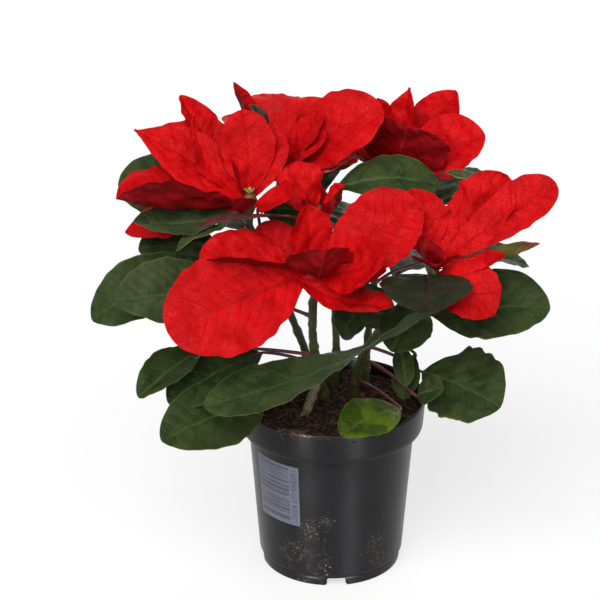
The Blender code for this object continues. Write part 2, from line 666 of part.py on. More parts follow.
def flower_shapes(head):
    """The small true flowers in the middle of a head, on their shared base."""
    x, y, z = head.place
    low = z + SEAT_GAP
    shapes = [cylinder(x, y, low, low + FLOWER_BASE, FLOWER_RADIUS, STEM_SIDES)]
    shapes.append(bud(x, y, low + FLOWER_BASE / 2, FLOWER_SIZE, FLOWER_HEIGHT))
    for k in range(FLOWERS_ROUND):
        a = 2 * np.pi * (k + 0.3) / FLOWERS_ROUND
        place = (x + FLOWER_SPREAD * math.cos(a), y + FLOWER_SPREAD * math.sin(a))
        height = low + FLOWER_BASE / (2 + k % 2)
        shapes.append(bud(*place, height, FLOWER_SIZE, 0.8 * FLOWER_HEIGHT))
    return shapes


def make_flowers():
    yellow = material("flower_yellow_green", (0.30, 0.34, 0.04), 0.5)
    for key, head in HEADS.items():
        if head.flowers:
            fuse("flowers_" + key, flower_shapes(head), yellow)


def build():
    clear_scene()
    make_pot()
    make_soil()
    make_stems()
    make_heads()
    make_flowers()


build()
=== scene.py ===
"""Looks of the poinsettia in its nursery pot. Lengths are in millimetres and angles in degrees until
a mesh is made. Heads, stems and blades follow the same named values as the solids."""

import math
from types import SimpleNamespace

import bpy
import bmesh
import numpy as np
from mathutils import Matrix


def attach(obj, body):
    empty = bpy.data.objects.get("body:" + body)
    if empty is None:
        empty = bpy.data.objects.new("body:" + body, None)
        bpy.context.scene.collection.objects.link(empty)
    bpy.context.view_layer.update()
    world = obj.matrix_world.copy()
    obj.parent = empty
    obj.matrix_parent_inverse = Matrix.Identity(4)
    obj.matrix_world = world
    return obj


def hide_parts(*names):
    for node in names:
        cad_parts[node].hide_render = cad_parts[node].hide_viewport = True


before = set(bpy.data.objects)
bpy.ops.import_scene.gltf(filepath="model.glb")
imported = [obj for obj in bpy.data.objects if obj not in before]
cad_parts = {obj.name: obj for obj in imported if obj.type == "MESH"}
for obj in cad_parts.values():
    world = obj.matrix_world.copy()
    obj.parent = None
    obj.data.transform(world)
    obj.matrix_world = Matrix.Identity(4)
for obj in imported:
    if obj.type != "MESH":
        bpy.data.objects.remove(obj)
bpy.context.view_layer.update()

MM = 0.001
SEED = 11
FINISHES = {}

# Camera, which stands where the photo was taken from, and the floor
CAMERA_TARGET = (-20.2, 0.0, 180.2)
CAMERA_DISTANCE = 1600.0
CAMERA_RISE = 23.4
CAMERA_LENS = 152.67
CAMERA_SENSOR = 36.0
CAMERA_SIGHT = 50.0
FLOOR_SIZE = 9000.0
FLOOR_DROP = 0.2
FLOOR_CORNERS = ((-1, -1), (1, -1), (1, 1), (-1, 1))

# Pot and the dirt on it
POT_HEIGHT = 114.5
RIM_RADIUS = 60.0
RIM_BAND = 21.0
BAND_HEIGHT = POT_HEIGHT - RIM_BAND
BAND_STEP = 0.7
RIM_DRAFT = 1.2
RIM_SHOULDER = 3.6
FOOT_RADIUS = 44.5
FOOT_HEIGHT = 7.0
FOOT_STEP = 1.0
FOOT_SLOPE = 0.6
FOOT_LINE = ((0.30, 4.6), (0.62, 5.0), (0.36, 5.5))
BODY_FOOT_RADIUS = 46.3
BODY_TOP_RADIUS = 53.0
WALL = 1.6
LIP = 1.4
POT_ROUND = 0.7
FLOOR_HEIGHT = 8.0
FLOOR_THICKNESS = 2.0
CENTRE_PAD_RADIUS = 13.0
PAD_SLOPE = 2.0
POT_SEGMENTS = 180
DRAIN_HOLES = 4
DRAIN_RADIUS = 4.0
DRAIN_SEGMENTS = 48
NOTCHES = 4
NOTCH_WIDTH = 12.0
NOTCH_HEIGHT = 7.1
NOTCH_DEPTH = 6.0
NOTCH_AZIMUTH = -86.0
NOTCH_CORNER = 1.4
NOTCH_FLARE = 1.2
NOTCH_CROWN = 1.6
CUT_PAST = 3.0
DIRT_RING = (-24.6, 21.5, 5.6)
DIRT_SPOTS = (
    (-24, 22, 9, 10),
    (-12, 34, 9, 16),
    (-14, 14, 13, 12),
    (27, 22, 8, 12),
    (-4, 50, 5, 5),
)

# Soil and what lies on it
SOIL_HEIGHT = 106.0
SOIL_RADIUS = RIM_RADIUS - WALL - RIM_DRAFT
SOIL_GAP = 0.35
SOIL_SEGMENTS = 180
SOIL_RINGS = 60
HOLE_DEPTH = 58.0
SOIL_PHASE = 1.7
SOIL_WAVES = ((26.0, 0.9), (13.0, 0.8), (7.0, 0.6), (4.2, 0.45), (2.6, 0.3))
SOIL_TURNS = (0.3, 1.4, 2.5)
SOIL_CROWN = 1.5
SOIL_EDGE_DROP = 2.0
SOIL_EDGE_FROM = 48.0
SOIL_EDGE_WIDTH = 10.0
LITTER_REACH = 56.0
FIBRE_REACH = 56.5
FIBRES = 520
RIM_FIBRES = 20
RIM_FIBRE_TURN = 244.0
CRUMBS = 1300
BAND_CRUMBS = (
    (266, 109, 1.1),
    (267, 108, 0.7),
    (281.5, 109.5, 1.0),
    (283, 110, 0.8),
    (284, 109, 0.6),
)

# Label
LABEL_LOW = 43.0
LABEL_HIGH = 86.0
LABEL_FROM = -153.0
LABEL_TO = -114.0
LABEL_PROUD = 0.12
LABEL_OFF = 0.02
BARS = 27.0
MARK_COLUMNS = 36.0
MARK_ROWS = 72.0

# Stems, blades and flowers
STEM_TOP_RADIUS = 2.1
STEM_SIDES = 18
STALK_RADIUS = 1.0
STALK_SIDES = 10
STALK_INSIDE = 9.0
STALK_RISE = 2.0
STUB_RADII = (1.6, 3.0, 2.0)
SCAR_SHARES = (0.35, 0.55, 0.72, 0.86)
SCAR_SIZE = 4.6
SCAR_THICKNESS = 0.2
NECK = 8.0
BLADE_END = 1.0
FOLD_FROM = 5.0
FOLD_SOFTNESS = 3.0
WAVE_SHIFT = 1.3
FRILL_LONG = 26.0
FRILL_SHORT = 13.0
TEETH = (7.3, 8.1)
CURL = 0.01
CORE_RADIUS = 2.6
CORE_BELLY = 5.0
CORE_HEIGHT = 13.0
SEAT_GAP = 0.3
ROOT_OUT = 3.4
ROOT_OUT_MOST = 3.9
ROOT_DROP = 6.0
FLOWER_REACH = 4.2

# Fine surface of the blades
GRID_STEP = 1.25
BRACT_THICKNESS = 0.35
LEAF_THICKNESS = 0.45
VEIN_SPACING = 8.5
VEIN_LEAN = 0.62
VEIN_BEND = 0.011
VEIN_DRIFT = 0.16
VEIN_SHIFT = 0.42
DRIFT_SIZE = 34.0
WOBBLES = 4
CRUMPLES = 7
PADS_FROM = 9.0
PAD_START = 3.0
GROOVE_WIDTH = 0.9
RIB_WIDTH = 1.3
CRUMPLE_FROM = 12.0
CRUMPLE_SIZE = 13.0
PUCKER_SIZE = 5.5
PUCKER_SHARE = 0.40
VEIN_RELIEF = 0.24
BLADE_SPECULAR = 0.10
SHARP_ANGLE = 50.0

# Lights, each with its strength, softness, azimuth and rise; the narrow strips light the pot alone
WORLD_DIFFUSE = 0.13
WORLD_GLOSS = 0.34
SUNS = {
    "key": (2.75, 50.0, 248.0, 44.0),
    "fill": (0.9, 70.0, 300.0, 24.0),
    "back": (1.1, 70.0, 75.0, 26.0),
}
STRIPS = {
    "left_strip": (6.5, 9.0, 238.0, 8.0),
    "right_strip": (6.5, 9.0, 297.0, 8.0),
}


def blade(azimuth, rise, reach, width, **form):
    """A bract or leaf: the way its tip lies from its start, and how the surface bends on the way.
    Roll tips the upper face to the right as seen from the start, left and right fold the halves up."""
    made = SimpleNamespace(
        azimuth=azimuth, rise=rise, reach=reach, width=width, start=(0.0, 0.0, 0.0), look="red",
        widest=0.55, base=1.2, point=0.7, roll=0.0, twist=0.0, arch=0.0, lean=0.0, left=8.0, right=8.0,
        wave=1.0, waves=1.5, phase=0.0, teeth=0.0,
    )
    for name, value in form.items():
        setattr(made, name, value)
    return made


def leaf(node, start, azimuth, rise, reach, width, **form):
    """A green leaf: the height on the stem where its stalk leaves, and its blade with its start."""
    usual = {"branch": 0, "point": 0.62, "arch": 3.0, "look": "green"}
    return blade(azimuth, rise, reach, width, node=node, start=start, **{**usual, **form})


def look(upper, under, **settings):
    """How a kind of blade is finished: its two faces, and the size of its relief."""
    made = SimpleNamespace(
        upper=upper, under=under, thickness=BRACT_THICKNESS, uneven=0.035, frill=0.7,
        pillow=0.30, groove=0.14, rib=0.45, crumple=0.55,
    )
    for name, value in settings.items():
        setattr(made, name, value)
    return made


LEAFY = {"thickness": LEAF_THICKNESS, "uneven": 0.022, "frill": 0.45, "pillow": 0.42, "groove": 0.22,
         "rib": 0.6, "crumple": 0.5}
LOOKS = {
    "red": look("bract_upper", "bract_under"),
    "young": look("bract_upper", "bract_under", crumple=1.15, uneven=0.06, frill=1.2),
    "half": look("half_upper", "half_under"),
    "purple": look("purple_upper", "purple_under", **LEAFY),
    "green": look("leaf_upper", "leaf_under", **LEAFY),
    # painted shade: a near-black face for blades that stand in the foliage's shade
    "dusky_shade": look("dusky_shade_upper", "leaf_under", **LEAFY),
    "grey": look("grey_upper", "leaf_under", **LEAFY),
    "bright": look("bright_upper", "leaf_under", **LEAFY),
    "edged": look("edged_upper", "edged_under", **{**LEAFY, "frill": 1.0}),
    "ragged": look("leaf_upper", "leaf_under", **{**LEAFY, "uneven": 0.05, "frill": 0.9}),
}

# Bracts of each head, from the core outward; starts are offsets from where they leave the core
HEADS = {
    "a": SimpleNamespace(flowers=True, place=(-51, -25, 262), bracts=[
        blade(197, 8, 80, 56, left=56, right=32, lean=0.1, arch=-5, widest=0.62, point=0.5, phase=1.0),
        blade(163, 29, 80, 38, left=15, right=30, roll=-35, arch=6, widest=0.42, point=1.1),
        blade(150, 26, 74, 42, left=12, right=12, roll=-30, arch=10),
        blade(150, 54, 60, 38, left=22, right=10, roll=-25, arch=-4, widest=0.55, base=1.3),
        blade(136, 44, 78, 30, left=40, right=45, roll=-30, twist=30, arch=-3),
        blade(100, 71, 55, 34, left=8, right=12, roll=5, arch=5, widest=0.6, point=0.55),
        blade(62, 56, 48, 30, left=15, right=20, roll=25, arch=4, widest=0.6, point=0.6),
        blade(318, 21, 34, 28, left=16, right=30, roll=40, arch=-3, widest=0.65, point=0.55),
        blade(174, 75, 28, 14, left=30, right=30),
        blade(172, -15, 77, 28, left=6, right=6, roll=-35, arch=4, start=(0, 2, -5)),
        blade(254, 26, 34, 26, left=35, right=35, arch=-6),
    ]),
    "b": SimpleNamespace(flowers=True, place=(-33, 22, 268), bracts=[
        blade(345, 35, 76, 46, left=8, right=16, roll=58, arch=8, widest=0.6, point=0.5, base=1.2),
        blade(186, 66, 61, 20, left=40, right=45, roll=-35, twist=30, arch=-4),
        blade(338, 55, 46, 30, left=10, right=10, roll=45, arch=3, widest=0.65),
        blade(325, 40, 42, 30, left=10, right=10, roll=45, arch=4, widest=0.6),
        # painted shade: this bract takes the near-black face for the shade under the head
        blade(205, 70, 46, 24, left=10, right=10, roll=-25, arch=4, widest=0.6, start=(-1, -2, 0),
              look="dusky_shade"),
        blade(268, 0, 24, 30, left=20, right=20, arch=-3, widest=0.6),
        blade(334, 16, 52, 42, left=15, right=15, roll=4, arch=-4, widest=0.6, start=(0, 0, -3)),
        blade(95, 26, 62, 42, left=12, right=12, arch=6, widest=0.58),
        blade(138, 30, 50, 34, left=12, right=12, arch=6, start=(0, 0, -3)),
        blade(58, 32, 60, 38, left=12, right=12, arch=6, start=(0, 0, -3)),
    ]),
    "c": SimpleNamespace(flowers=True, place=(38, 38, 254), bracts=[
        blade(286, 60, 52, 60, left=5, right=5, roll=-32, arch=-3, widest=0.76, point=0.4),
        blade(158, 82, 52, 30, left=16, right=16, widest=0.6),
        blade(52, 76, 57, 28, left=20, right=20, point=1.2),
        blade(15, 55, 66, 36, left=15, right=20, roll=40, arch=-3, widest=0.6),
        blade(348, 31, 64, 44, left=20, right=10, roll=45, arch=5, widest=0.6, point=0.6),
        blade(222, 40, 42, 34, left=20, right=20, roll=-20, widest=0.6),
        blade(277, 39, 37, 40, left=15, right=15, arch=-3, widest=0.65),
        blade(235, 12, 42, 34, left=15, right=15, arch=-3, widest=0.6, start=(0, 0, -3)),
        blade(95, 25, 58, 40, left=12, right=12, arch=6, start=(0, 0, -3)),
        blade(55, 14, 56, 38, left=12, right=12, arch=6, start=(0, 0, -4)),
        blade(140, 32, 50, 34, left=12, right=12, arch=5, start=(0, 0, -3)),
    ]),
    "d": SimpleNamespace(flowers=True, place=(-12, -52, 226), bracts=[
        blade(9, 35, 74, 48, left=10, right=14, roll=56, arch=-2, widest=0.62, point=0.5),
        blade(281, 46, 38, 44, left=20, right=20, arch=-6, widest=0.62, point=0.45),
        blade(324, 23, 52, 40, left=15, right=20, roll=50, arch=-3, widest=0.6),
        blade(209, -10, 97, 62, left=6, right=12, roll=-50, arch=8, widest=0.6, point=0.48),
        blade(334, -6, 66, 28, left=14, right=14, roll=14, arch=-8, base=0.9, start=(-15, -4, 1)),
        blade(198, 14, 70, 42, left=38, right=36, roll=-10, arch=3, widest=0.62, point=0.5),
        blade(158, 38, 42, 28, left=12, right=12, roll=-40, arch=-2, widest=0.6, point=0.5),
        blade(119, 83, 42, 30, left=18, right=18, widest=0.6),
        blade(340, 14, 44, 32, left=15, right=15, roll=20, arch=-3, start=(0, 0, -2)),
        blade(40, 22, 48, 32, left=12, right=12, arch=4, start=(0, 0, -2)),
    ]),
    "e": SimpleNamespace(flowers=True, place=(60, -50, 231), bracts=[
        blade(10, 34, 86, 31, left=6, right=12, roll=48, arch=4, widest=0.74, point=0.5),
        blade(24, 48, 68, 40, left=18, right=12, roll=35, arch=-3, widest=0.62, point=0.5, look="young"),
        blade(254, 58, 29, 24, left=25, right=30, roll=-25, arch=-4, widest=0.6),
        blade(275, 22, 17, 34, left=30, right=30, arch=-3, widest=0.6, start=(0, 0, 2)),
        blade(338, 18, 44, 18, left=30, right=30, roll=30, arch=-7),
        blade(10, 11, 64, 26, left=15, right=15, roll=-38, arch=-3, widest=0.65, start=(0, 0, -3),
              look="half"),
        blade(320, -20, 46, 38, left=8, right=10, roll=35, arch=9, widest=0.6, start=(0, 0, -4)),
        blade(113, 55, 47, 32, left=14, right=14, roll=-10, arch=4, widest=0.6, look="young"),
        blade(140, 30, 40, 30, left=14, right=14, arch=4, widest=0.6),
        blade(60, 25, 54, 36, left=12, right=12, arch=5, start=(0, 0, -3)),
    ]),
    "g": SimpleNamespace(flowers=False, place=(-9, -20, 252), bracts=[
        blade(166, 60, 34, 31, left=12, right=12, roll=-45, arch=5, widest=0.62, point=0.5,
              look="young"),
        blade(8, 55, 22, 20, left=20, right=20, widest=0.6, point=0.6, look="young"),
        blade(272, -2, 15, 14, left=15, right=15, arch=4, widest=0.6, point=0.6),
    ] + [
        blade(20 + 72 * k, 52, 18, 14, left=35, right=35, arch=-4, widest=0.65, point=0.5,
              look="young")
        for k in range(5)
    ]),
}


STEMS = {
    "a": SimpleNamespace(hole=(-18, 14), radius=2.8, head="a", stubs=[], branches=[],
                         way=[(-16, 8, 136), (-23, 0, 162), (-38, -12, 205)], leaves=[
        leaf(200, (-77, -14, 213), 206, -18, 82, 42, roll=-35, arch=8),
        leaf(208, (-70, 4, 216), 195, 2, 52, 38, roll=-30, arch=5),
        leaf(230, (-70, 24, 237), 188, 14, 66, 46, roll=-45, arch=4, point=0.5),
        leaf(238, (-58, -28, 250), 193, 0, 64, 28, roll=-22, arch=-4, left=14),
        leaf(226, (-56, -30, 244), 212, -10, 46, 16, roll=10, arch=4, wave=1.6, look="edged"),
        leaf(238, (-56, -13, 247), 117, 44, 66, 26, arch=-3, look="grey"),
        leaf(190, (-48, 22, 214), 140, -2, 74, 44, arch=8),
        leaf(222, (-46, 2, 242), 3, -4, 44, 34, roll=68, arch=2),
    ]),
    "b": SimpleNamespace(hole=(2, 24), radius=2.6, head="b", stubs=[], branches=[],
                         way=[(3, 14, 140), (0, 14, 180), (-15, 17, 224)], leaves=[
        leaf(215, (-6, 46, 232), 98, 8, 78, 44, arch=8),
        leaf(190, (6, 52, 200), 75, -6, 76, 46, arch=8),
        leaf(175, (-14, 48, 182), 118, -8, 72, 44, arch=8),
    ]),
    "c": SimpleNamespace(hole=(22, 26), radius=2.6, head="c", stubs=[], branches=[],
                         way=[(24, 24, 150), (30, 30, 200)], leaves=[
        leaf(226, (68, 3, 264), 345, -12, 25, 16, arch=3, look="edged"),
        leaf(200, (58, 48, 220), 38, 4, 72, 44, arch=8),
        leaf(180, (52, 34, 190), 8, -4, 76, 42, arch=8),
        leaf(174, (38, 15, 176), 218, -8, 32, 32, roll=-35, arch=4),
        leaf(165, (40, 56, 172), 62, -10, 70, 44, arch=7),
    ]),
    "d": SimpleNamespace(hole=(-4, 2), radius=3.9, head="d",
                         stubs=[[(-8, -6, 130), (-12, -16, 122), (-17, -27, 113)]],
                         branches=[([(-12, -30, 174), (-11, -24, 200)], "g")],
                         way=[(-9, -9, 135), (-12, -25, 164), (-13, -44, 194)], leaves=[
        leaf(186, (-56, -36, 198), 209, 10, 86, 48, roll=-38, arch=6, look="grey"),
        leaf(150, (-80, -30, 160), 224, -16, 56, 28, roll=-25, arch=5, left=30, right=25),
        leaf(140, (-43, -20, 153), 214, -13, 72, 40, roll=-28, arch=6),
        leaf(124, (-40, -32, 126), 220, -1, 84, 46, roll=-36, arch=6),
        leaf(231, (-25, -42, 253), 200, 1, 62, 16, roll=10, arch=3, branch=1, look="purple"),
        leaf(224, (0, -4, 256), 2, 2, 66, 34, roll=30, arch=9, branch=1),
    ]),
    "e": SimpleNamespace(hole=(14, 10), radius=3.0, head="e", stubs=[], branches=[],
                         way=[(18, 3, 136), (30, -12, 165), (46, -32, 195)], leaves=[
        leaf(198, (68, -50, 200), 198, -17, 160, 41, roll=10, twist=-100, arch=-8, widest=0.7, base=0.6),
        leaf(184, (60, -28, 182), 345, 10, 76, 54, roll=32, arch=5),
        leaf(150, (56, -18, 139), 327, -10, 58, 54, roll=30, arch=5, wave=1.5,
             waves=3, teeth=0.07, look="ragged"),
        leaf(140, (52, -48, 136), 320, 31, 24, 20, roll=50, arch=2),
        leaf(158, (52, -17, 151), 241, -56, 30, 18, arch=2),
        leaf(170, (42, -20, 160), 279, -43, 30, 14, arch=2),
        leaf(122, (43, -28, 118), 225, 0, 54, 32, roll=-22, arch=5, look="bright"),
        leaf(170, (24, -8, 186), 201, -54, 32, 26, roll=-20, arch=4),
        leaf(170, (37, -30, 181), 204, -4, 20, 14, roll=-30, arch=2, look="grey"),
        leaf(182, (55, -22, 186), 238, -26, 40, 34, roll=-20, arch=5),
        # painted shade: this leaf takes the near-black face for the dark gap behind head e's flowers
        leaf(210, (57, -58, 222), 264, -10, 42, 56, arch=4, look="dusky_shade"),
    ]),
}


def outline(form, t):
    """The share of the full width at each point along a blade."""
    before = np.clip((form.widest - t) / form.widest, 0.0, 1.0)
    after = np.clip((t - form.widest) / (1.0 - form.widest), 0.0, 1.0)
    return np.where(t < form.widest, (1 - before**2) ** form.base, (1 - after**2) ** form.point)


def blade_frame(form):
    """The blade's own axes: along its chord, out of its upper face and to its right."""
    azimuth = math.radians(form.azimuth)
    rise = math.radians(form.rise)
    roll = math.radians(form.roll)
    level = np.array([math.cos(azimuth), math.sin(azimuth), 0.0])
    up = np.array([0.0, 0.0, 1.0])
    chord = level * math.cos(rise) + up * math.sin(rise)
    face = up * math.cos(rise) - level * math.sin(rise)
    right = np.cross(chord, face)
    turned_face = face * math.cos(roll) + right * math.sin(roll)
    turned_right = right * math.cos(roll) - face * math.sin(roll)
    return chord, turned_face, turned_right


def unit(vectors):
    """The vectors, each brought to a length of one."""
    return vectors / np.linalg.norm(vectors, axis=-1, keepdims=True)


def grid_normals(points):
    """The way that each point of a grid faces."""
    normal = np.cross(np.gradient(points, axis=1), np.gradient(points, axis=0))
    return normal / np.maximum(np.linalg.norm(normal, axis=2, keepdims=True), 1e-9)


def around(radius, turn):
    """The point at a radius and a turn round the upright axis."""
    return radius * math.cos(turn), radius * math.sin(turn)


def wobble(draw, x, low, high):
    """A smooth random line between about -1 and 1, with the given range of waves over its length."""
    out = np.zeros_like(x)
    for waves in np.linspace(low, high, WOBBLES):
        out += draw.uniform(0.4, 1.0) * np.sin(2 * np.pi * (waves * x + draw.uniform()))
    return out / math.sqrt(WOBBLES)


def crumple(draw, s, w, size):
    """A smooth random relief between about -1 and 1, with bumps of the given size."""
    out = np.zeros_like(s)
    for _ in range(CRUMPLES):
        turn = draw.uniform(0, np.pi)
        pitch = size * draw.uniform(0.75, 1.5)
        across = s * math.cos(turn) + w * math.sin(turn)
        out += np.sin(2 * np.pi * (across / pitch + draw.uniform()))
    return out / math.sqrt(CRUMPLES)


def blade_rib(form, start, t):
    """The blade's middle line, and the ways to its right and out of its upper face at each point."""
    chord, face, _ = blade_frame(form)
    hump = 4 * t * (1 - t)
    rib = np.asarray(start, float) + np.outer(t * form.reach, chord) + np.outer(form.arch * hump, face)
    tangent = unit(np.gradient(rib, axis=0))
    normal = unit(face - tangent * (tangent @ face)[:, None])
    side = np.cross(tangent, normal)
    turn = np.radians(form.twist * (t - 0.5))[:, None]
    turned = side * np.cos(turn) - normal * np.sin(turn)
    return rib, turned, normal * np.cos(turn) + side * np.sin(turn)


def by_side(across, left, right):
    """The left half takes the one line of values along the blade, the right half the other."""
    return np.where(across[None, :] < 0, left[:, None], right[:, None])


def edge_share(form, t, across, draw):
    """By what factor the blade is wider at each point, for its uneven and toothed edge."""
    edges = []
    for teeth in TEETH:
        uneven = wobble(draw, t, 2, 9) * LOOKS[form.look].uneven
        edges.append(uneven + form.teeth * np.abs(np.sin(np.pi * t * teeth)))
    return 1 + by_side(across, *edges) * across[None, :] ** 2


def fold(form, half, across):
    """Shares of the width by which each point lies to the right and out of the face."""
    out = np.abs(across)
    angle = np.radians(np.where(across < 0, form.left, form.right))
    soft = np.tanh(out[None, :] * FOLD_SOFTNESS) / math.tanh(FOLD_SOFTNESS)
    bend = np.outer(np.clip(half / FOLD_FROM, 0.0, 1.0), angle) * soft
    share = 1.0 + form.lean * np.sign(across)
    lateral = share * np.sign(across) * (np.sin(bend + CURL * out) - np.sin(bend)) / CURL
    return lateral, share * (np.cos(bend) - np.cos(bend + CURL * out)) / CURL


def ripples(form, t, across, draw):
    """Waves, and a finer frill, that grow toward the edges."""
    out = np.abs(across)[None, :]
    shift = np.where(across < 0, 0.0, WAVE_SHIFT)
    fade = np.sqrt(np.sin(np.pi * t))[:, None]
    wave = form.wave * np.sin(2 * np.pi * form.waves * t[:, None] + form.phase + shift[None, :])
    frills = [wobble(draw, t, form.reach / FRILL_LONG, form.reach / FRILL_SHORT) for _ in range(2)]
    frill = LOOKS[form.look].frill * by_side(across, *frills)
    return wave * out**1.5 * fade + frill * out**2.4 * fade


def vein_count(s, w, across, draw):
    """A number that grows along each half and is whole where a side vein runs."""
    away = np.abs(w)
    offset = np.where(across < 0, 0.0, VEIN_SHIFT)[None, :]
    spacing = VEIN_SPACING * draw.uniform(0.85, 1.2)
    bent = VEIN_LEAN * away + VEIN_BEND * away**2
    return (s - bent) / spacing + offset + draw.uniform() + VEIN_DRIFT * crumple(draw, s, w, DRIFT_SIZE)


def relief(kind, veins, half, s, w, out, draw):
    """The fine relief of a face: pads between grooved veins, a sunk midrib and soft puckers."""
    near = np.abs(veins - np.round(veins)) * VEIN_SPACING
    full = np.clip(half / PADS_FROM, 0.0, 1.0)[:, None]
    wide = np.clip(half / CRUMPLE_FROM, 0.0, 1.0)[:, None]
    body = full * (1 - out[None, :] ** 5) * np.minimum(np.abs(w) / PAD_START, 1.0)
    height = kind.pillow * np.sin(np.pi * veins) ** 2 * body
    height -= kind.groove * np.exp(-((near / GROOVE_WIDTH) ** 2)) * body
    height -= kind.rib * np.exp(-((w / RIB_WIDTH) ** 2)) * full
    height += kind.crumple * crumple(draw, s, w, CRUMPLE_SIZE) * wide
    return height + PUCKER_SHARE * kind.crumple * crumple(draw, s, w, PUCKER_SIZE) * full


def blade_grid(form, start, draw):
    """Points of the blade's middle surface on a fine grid, with the coordinates that its veins use."""
    rows = max(14, round(form.reach / GRID_STEP))
    columns = 2 * max(4, round(form.width / GRID_STEP / 2))
    step = np.arange(rows + 1) / rows
    t = 0.5 * step + 0.5 * (0.5 - 0.5 * np.cos(np.pi * step))
    across = np.linspace(-1.0, 1.0, columns + 1)
    out = np.abs(across)
    rib, side, normal = blade_rib(form, start, t)
    half = np.maximum(0.5 * form.width * outline(form, t), BLADE_END)
    width = half[:, None] * edge_share(form, t, across, draw)
    lateral, lift = fold(form, half, across)
    points = (
        rib[:, None, :]
        + (width * lateral)[..., None] * side[:, None, :]
        + (width * lift + ripples(form, t, across, draw))[..., None] * normal[:, None, :]
    )
    s = np.broadcast_to((t * form.reach)[:, None], width.shape)
    w = width * across[None, :]
    veins = vein_count(s, w, across, draw)
    height = relief(LOOKS[form.look], veins, half, s, w, out, draw)
    points = points + grid_normals(points) * height[..., None]
    flat = np.stack([s, w], axis=2) / 10.0
    grain = np.stack([veins, w / 10.0], axis=2)
    place = np.stack(np.broadcast_arrays(t[:, None], out[None, :]), axis=2)
    return points, flat, grain, place


def new_sheaf():
    """What one piece's mesh is gathered in, blade by blade and tube by tube."""
    lists = {name: [] for name in ("points", "flat", "grain", "place", "faces", "slots", "finishes")}
    return SimpleNamespace(count=0, **lists)


def slot_of(sheaf, finish):
    """The number of a finish among those of the sheaf."""
    if finish not in sheaf.finishes:
        sheaf.finishes.append(finish)
    return sheaf.finishes.index(finish)


def gather(sheaf, points, faces, slots, flat=None, grain=None, place=None):
    """Adds one closed shape to the sheaf. Slots is one number, or one for each face."""
    points = np.asarray(points, float)
    none = np.zeros((len(points), 2))
    sheaf.points.append(points)
    sheaf.flat.append(none if flat is None else flat)
    sheaf.grain.append(none if grain is None else grain)
    sheaf.place.append(none if place is None else place)
    sheaf.faces += [tuple(int(k) + sheaf.count for k in face) for face in faces]
    sheaf.slots += list(np.broadcast_to(slots, len(faces)))
    sheaf.count += len(points)


def sheet_faces(rows, columns):
    """Faces of a thin closed sheet on two layers of points: on top, under and round its edge."""
    count = (rows + 1) * (columns + 1)
    index = np.arange(count).reshape(rows + 1, columns + 1)
    corners = [index[:-1, :-1], index[:-1, 1:], index[1:, 1:], index[1:, :-1]]
    top = np.stack(corners, axis=2).reshape(-1, 4)
    rim = np.concatenate([index[0, :], index[1:, -1], index[-1, -2::-1], index[-2:0:-1, 0]])
    after = np.roll(rim, -1)
    edge = np.stack([after, rim, rim + count, after + count], axis=1)
    return top, top[:, ::-1] + count, edge


def add_blade(sheaf, form, start, draw):
    """One bract or leaf as a thin closed sheet, thinner still at its edge."""
    kind = LOOKS[form.look]
    points, flat, grain, place = blade_grid(form, start, draw)
    rows, columns = points.shape[0] - 1, points.shape[1] - 1
    thick = 0.5 * kind.thickness * (1 - 0.6 * np.abs(np.linspace(-1, 1, columns + 1)) ** 6)
    shift = grid_normals(points) * thick[None, :, None]
    above = (points + shift).reshape(-1, 3)
    below = (points - shift).reshape(-1, 3)
    top, under, edge = sheet_faces(rows, columns)
    slots = [slot_of(sheaf, kind.upper)] * len(top)
    slots += [slot_of(sheaf, kind.under)] * (len(under) + len(edge))
    maps = [np.tile(m.reshape(-1, 2), (2, 1)) for m in (flat, grain, place)]
    gather(sheaf, np.vstack([above, below]), np.concatenate([top, under, edge]), slots, *maps)


def smooth_path(points, steps):
    """A smooth curve through the points, with the given number of steps between each two."""
    points = np.asarray(points, float)
    padded = np.vstack([2 * points[0] - points[1], points, 2 * points[-1] - points[-2]])
    out = []
    for i in range(len(points) - 1):
        p0, p1, p2, p3 = padded[i:i + 4]
        for t in np.linspace(0, 1, steps, endpoint=False):
            out.append(0.5 * (2 * p1 + (p2 - p0) * t + (2 * p0 - 5 * p1 + 4 * p2 - p3) * t**2
                              + (3 * p1 - p0 - 3 * p2 + p3) * t**3))
    return np.array(out + [points[-1]])


def add_tube(sheaf, path, radii, sides, finish, lumps=None):
    """A closed tube along a path. Lumps gives each ring's own small swellings, side by side."""
    path = np.asarray(path, float)
    radii = np.broadcast_to(radii, len(path))
    tangent = unit(np.gradient(path, axis=0))
    across = np.cross(tangent[0], (0.31, 0.95, 0.05))
    turns = 2 * np.pi * np.arange(sides) / sides
    length = np.concatenate([[0.0], np.cumsum(np.linalg.norm(np.diff(path, axis=0), axis=1))])
    rings, flat = [], []
    for k, (point, way, radius) in enumerate(zip(path, tangent, radii)):
        across = unit(across - way * (across @ way))
        other = np.cross(way, across)
        round_about = np.outer(np.cos(turns), across) + np.outer(np.sin(turns), other)
        swell = radius if lumps is None else radius * (1 + lumps[k])[:, None]
        rings.append(point + swell * round_about)
        flat.append(np.stack([np.full(sides, length[k]), turns * radius], axis=1) / 10.0)
    ring = np.arange(sides)
    after = (ring + 1) % sides
    faces = []
    for k in range(len(path) - 1):
        a = k * sides
        faces += np.stack([a + ring, a + after, a + after + sides, a + ring + sides], axis=1).tolist()
    last = (len(path) - 1) * sides
    faces.append(list(ring[::-1]))
    faces.append(list(last + ring))
    gather(sheaf, np.vstack(rings), faces, slot_of(sheaf, finish), flat=np.vstack(flat))


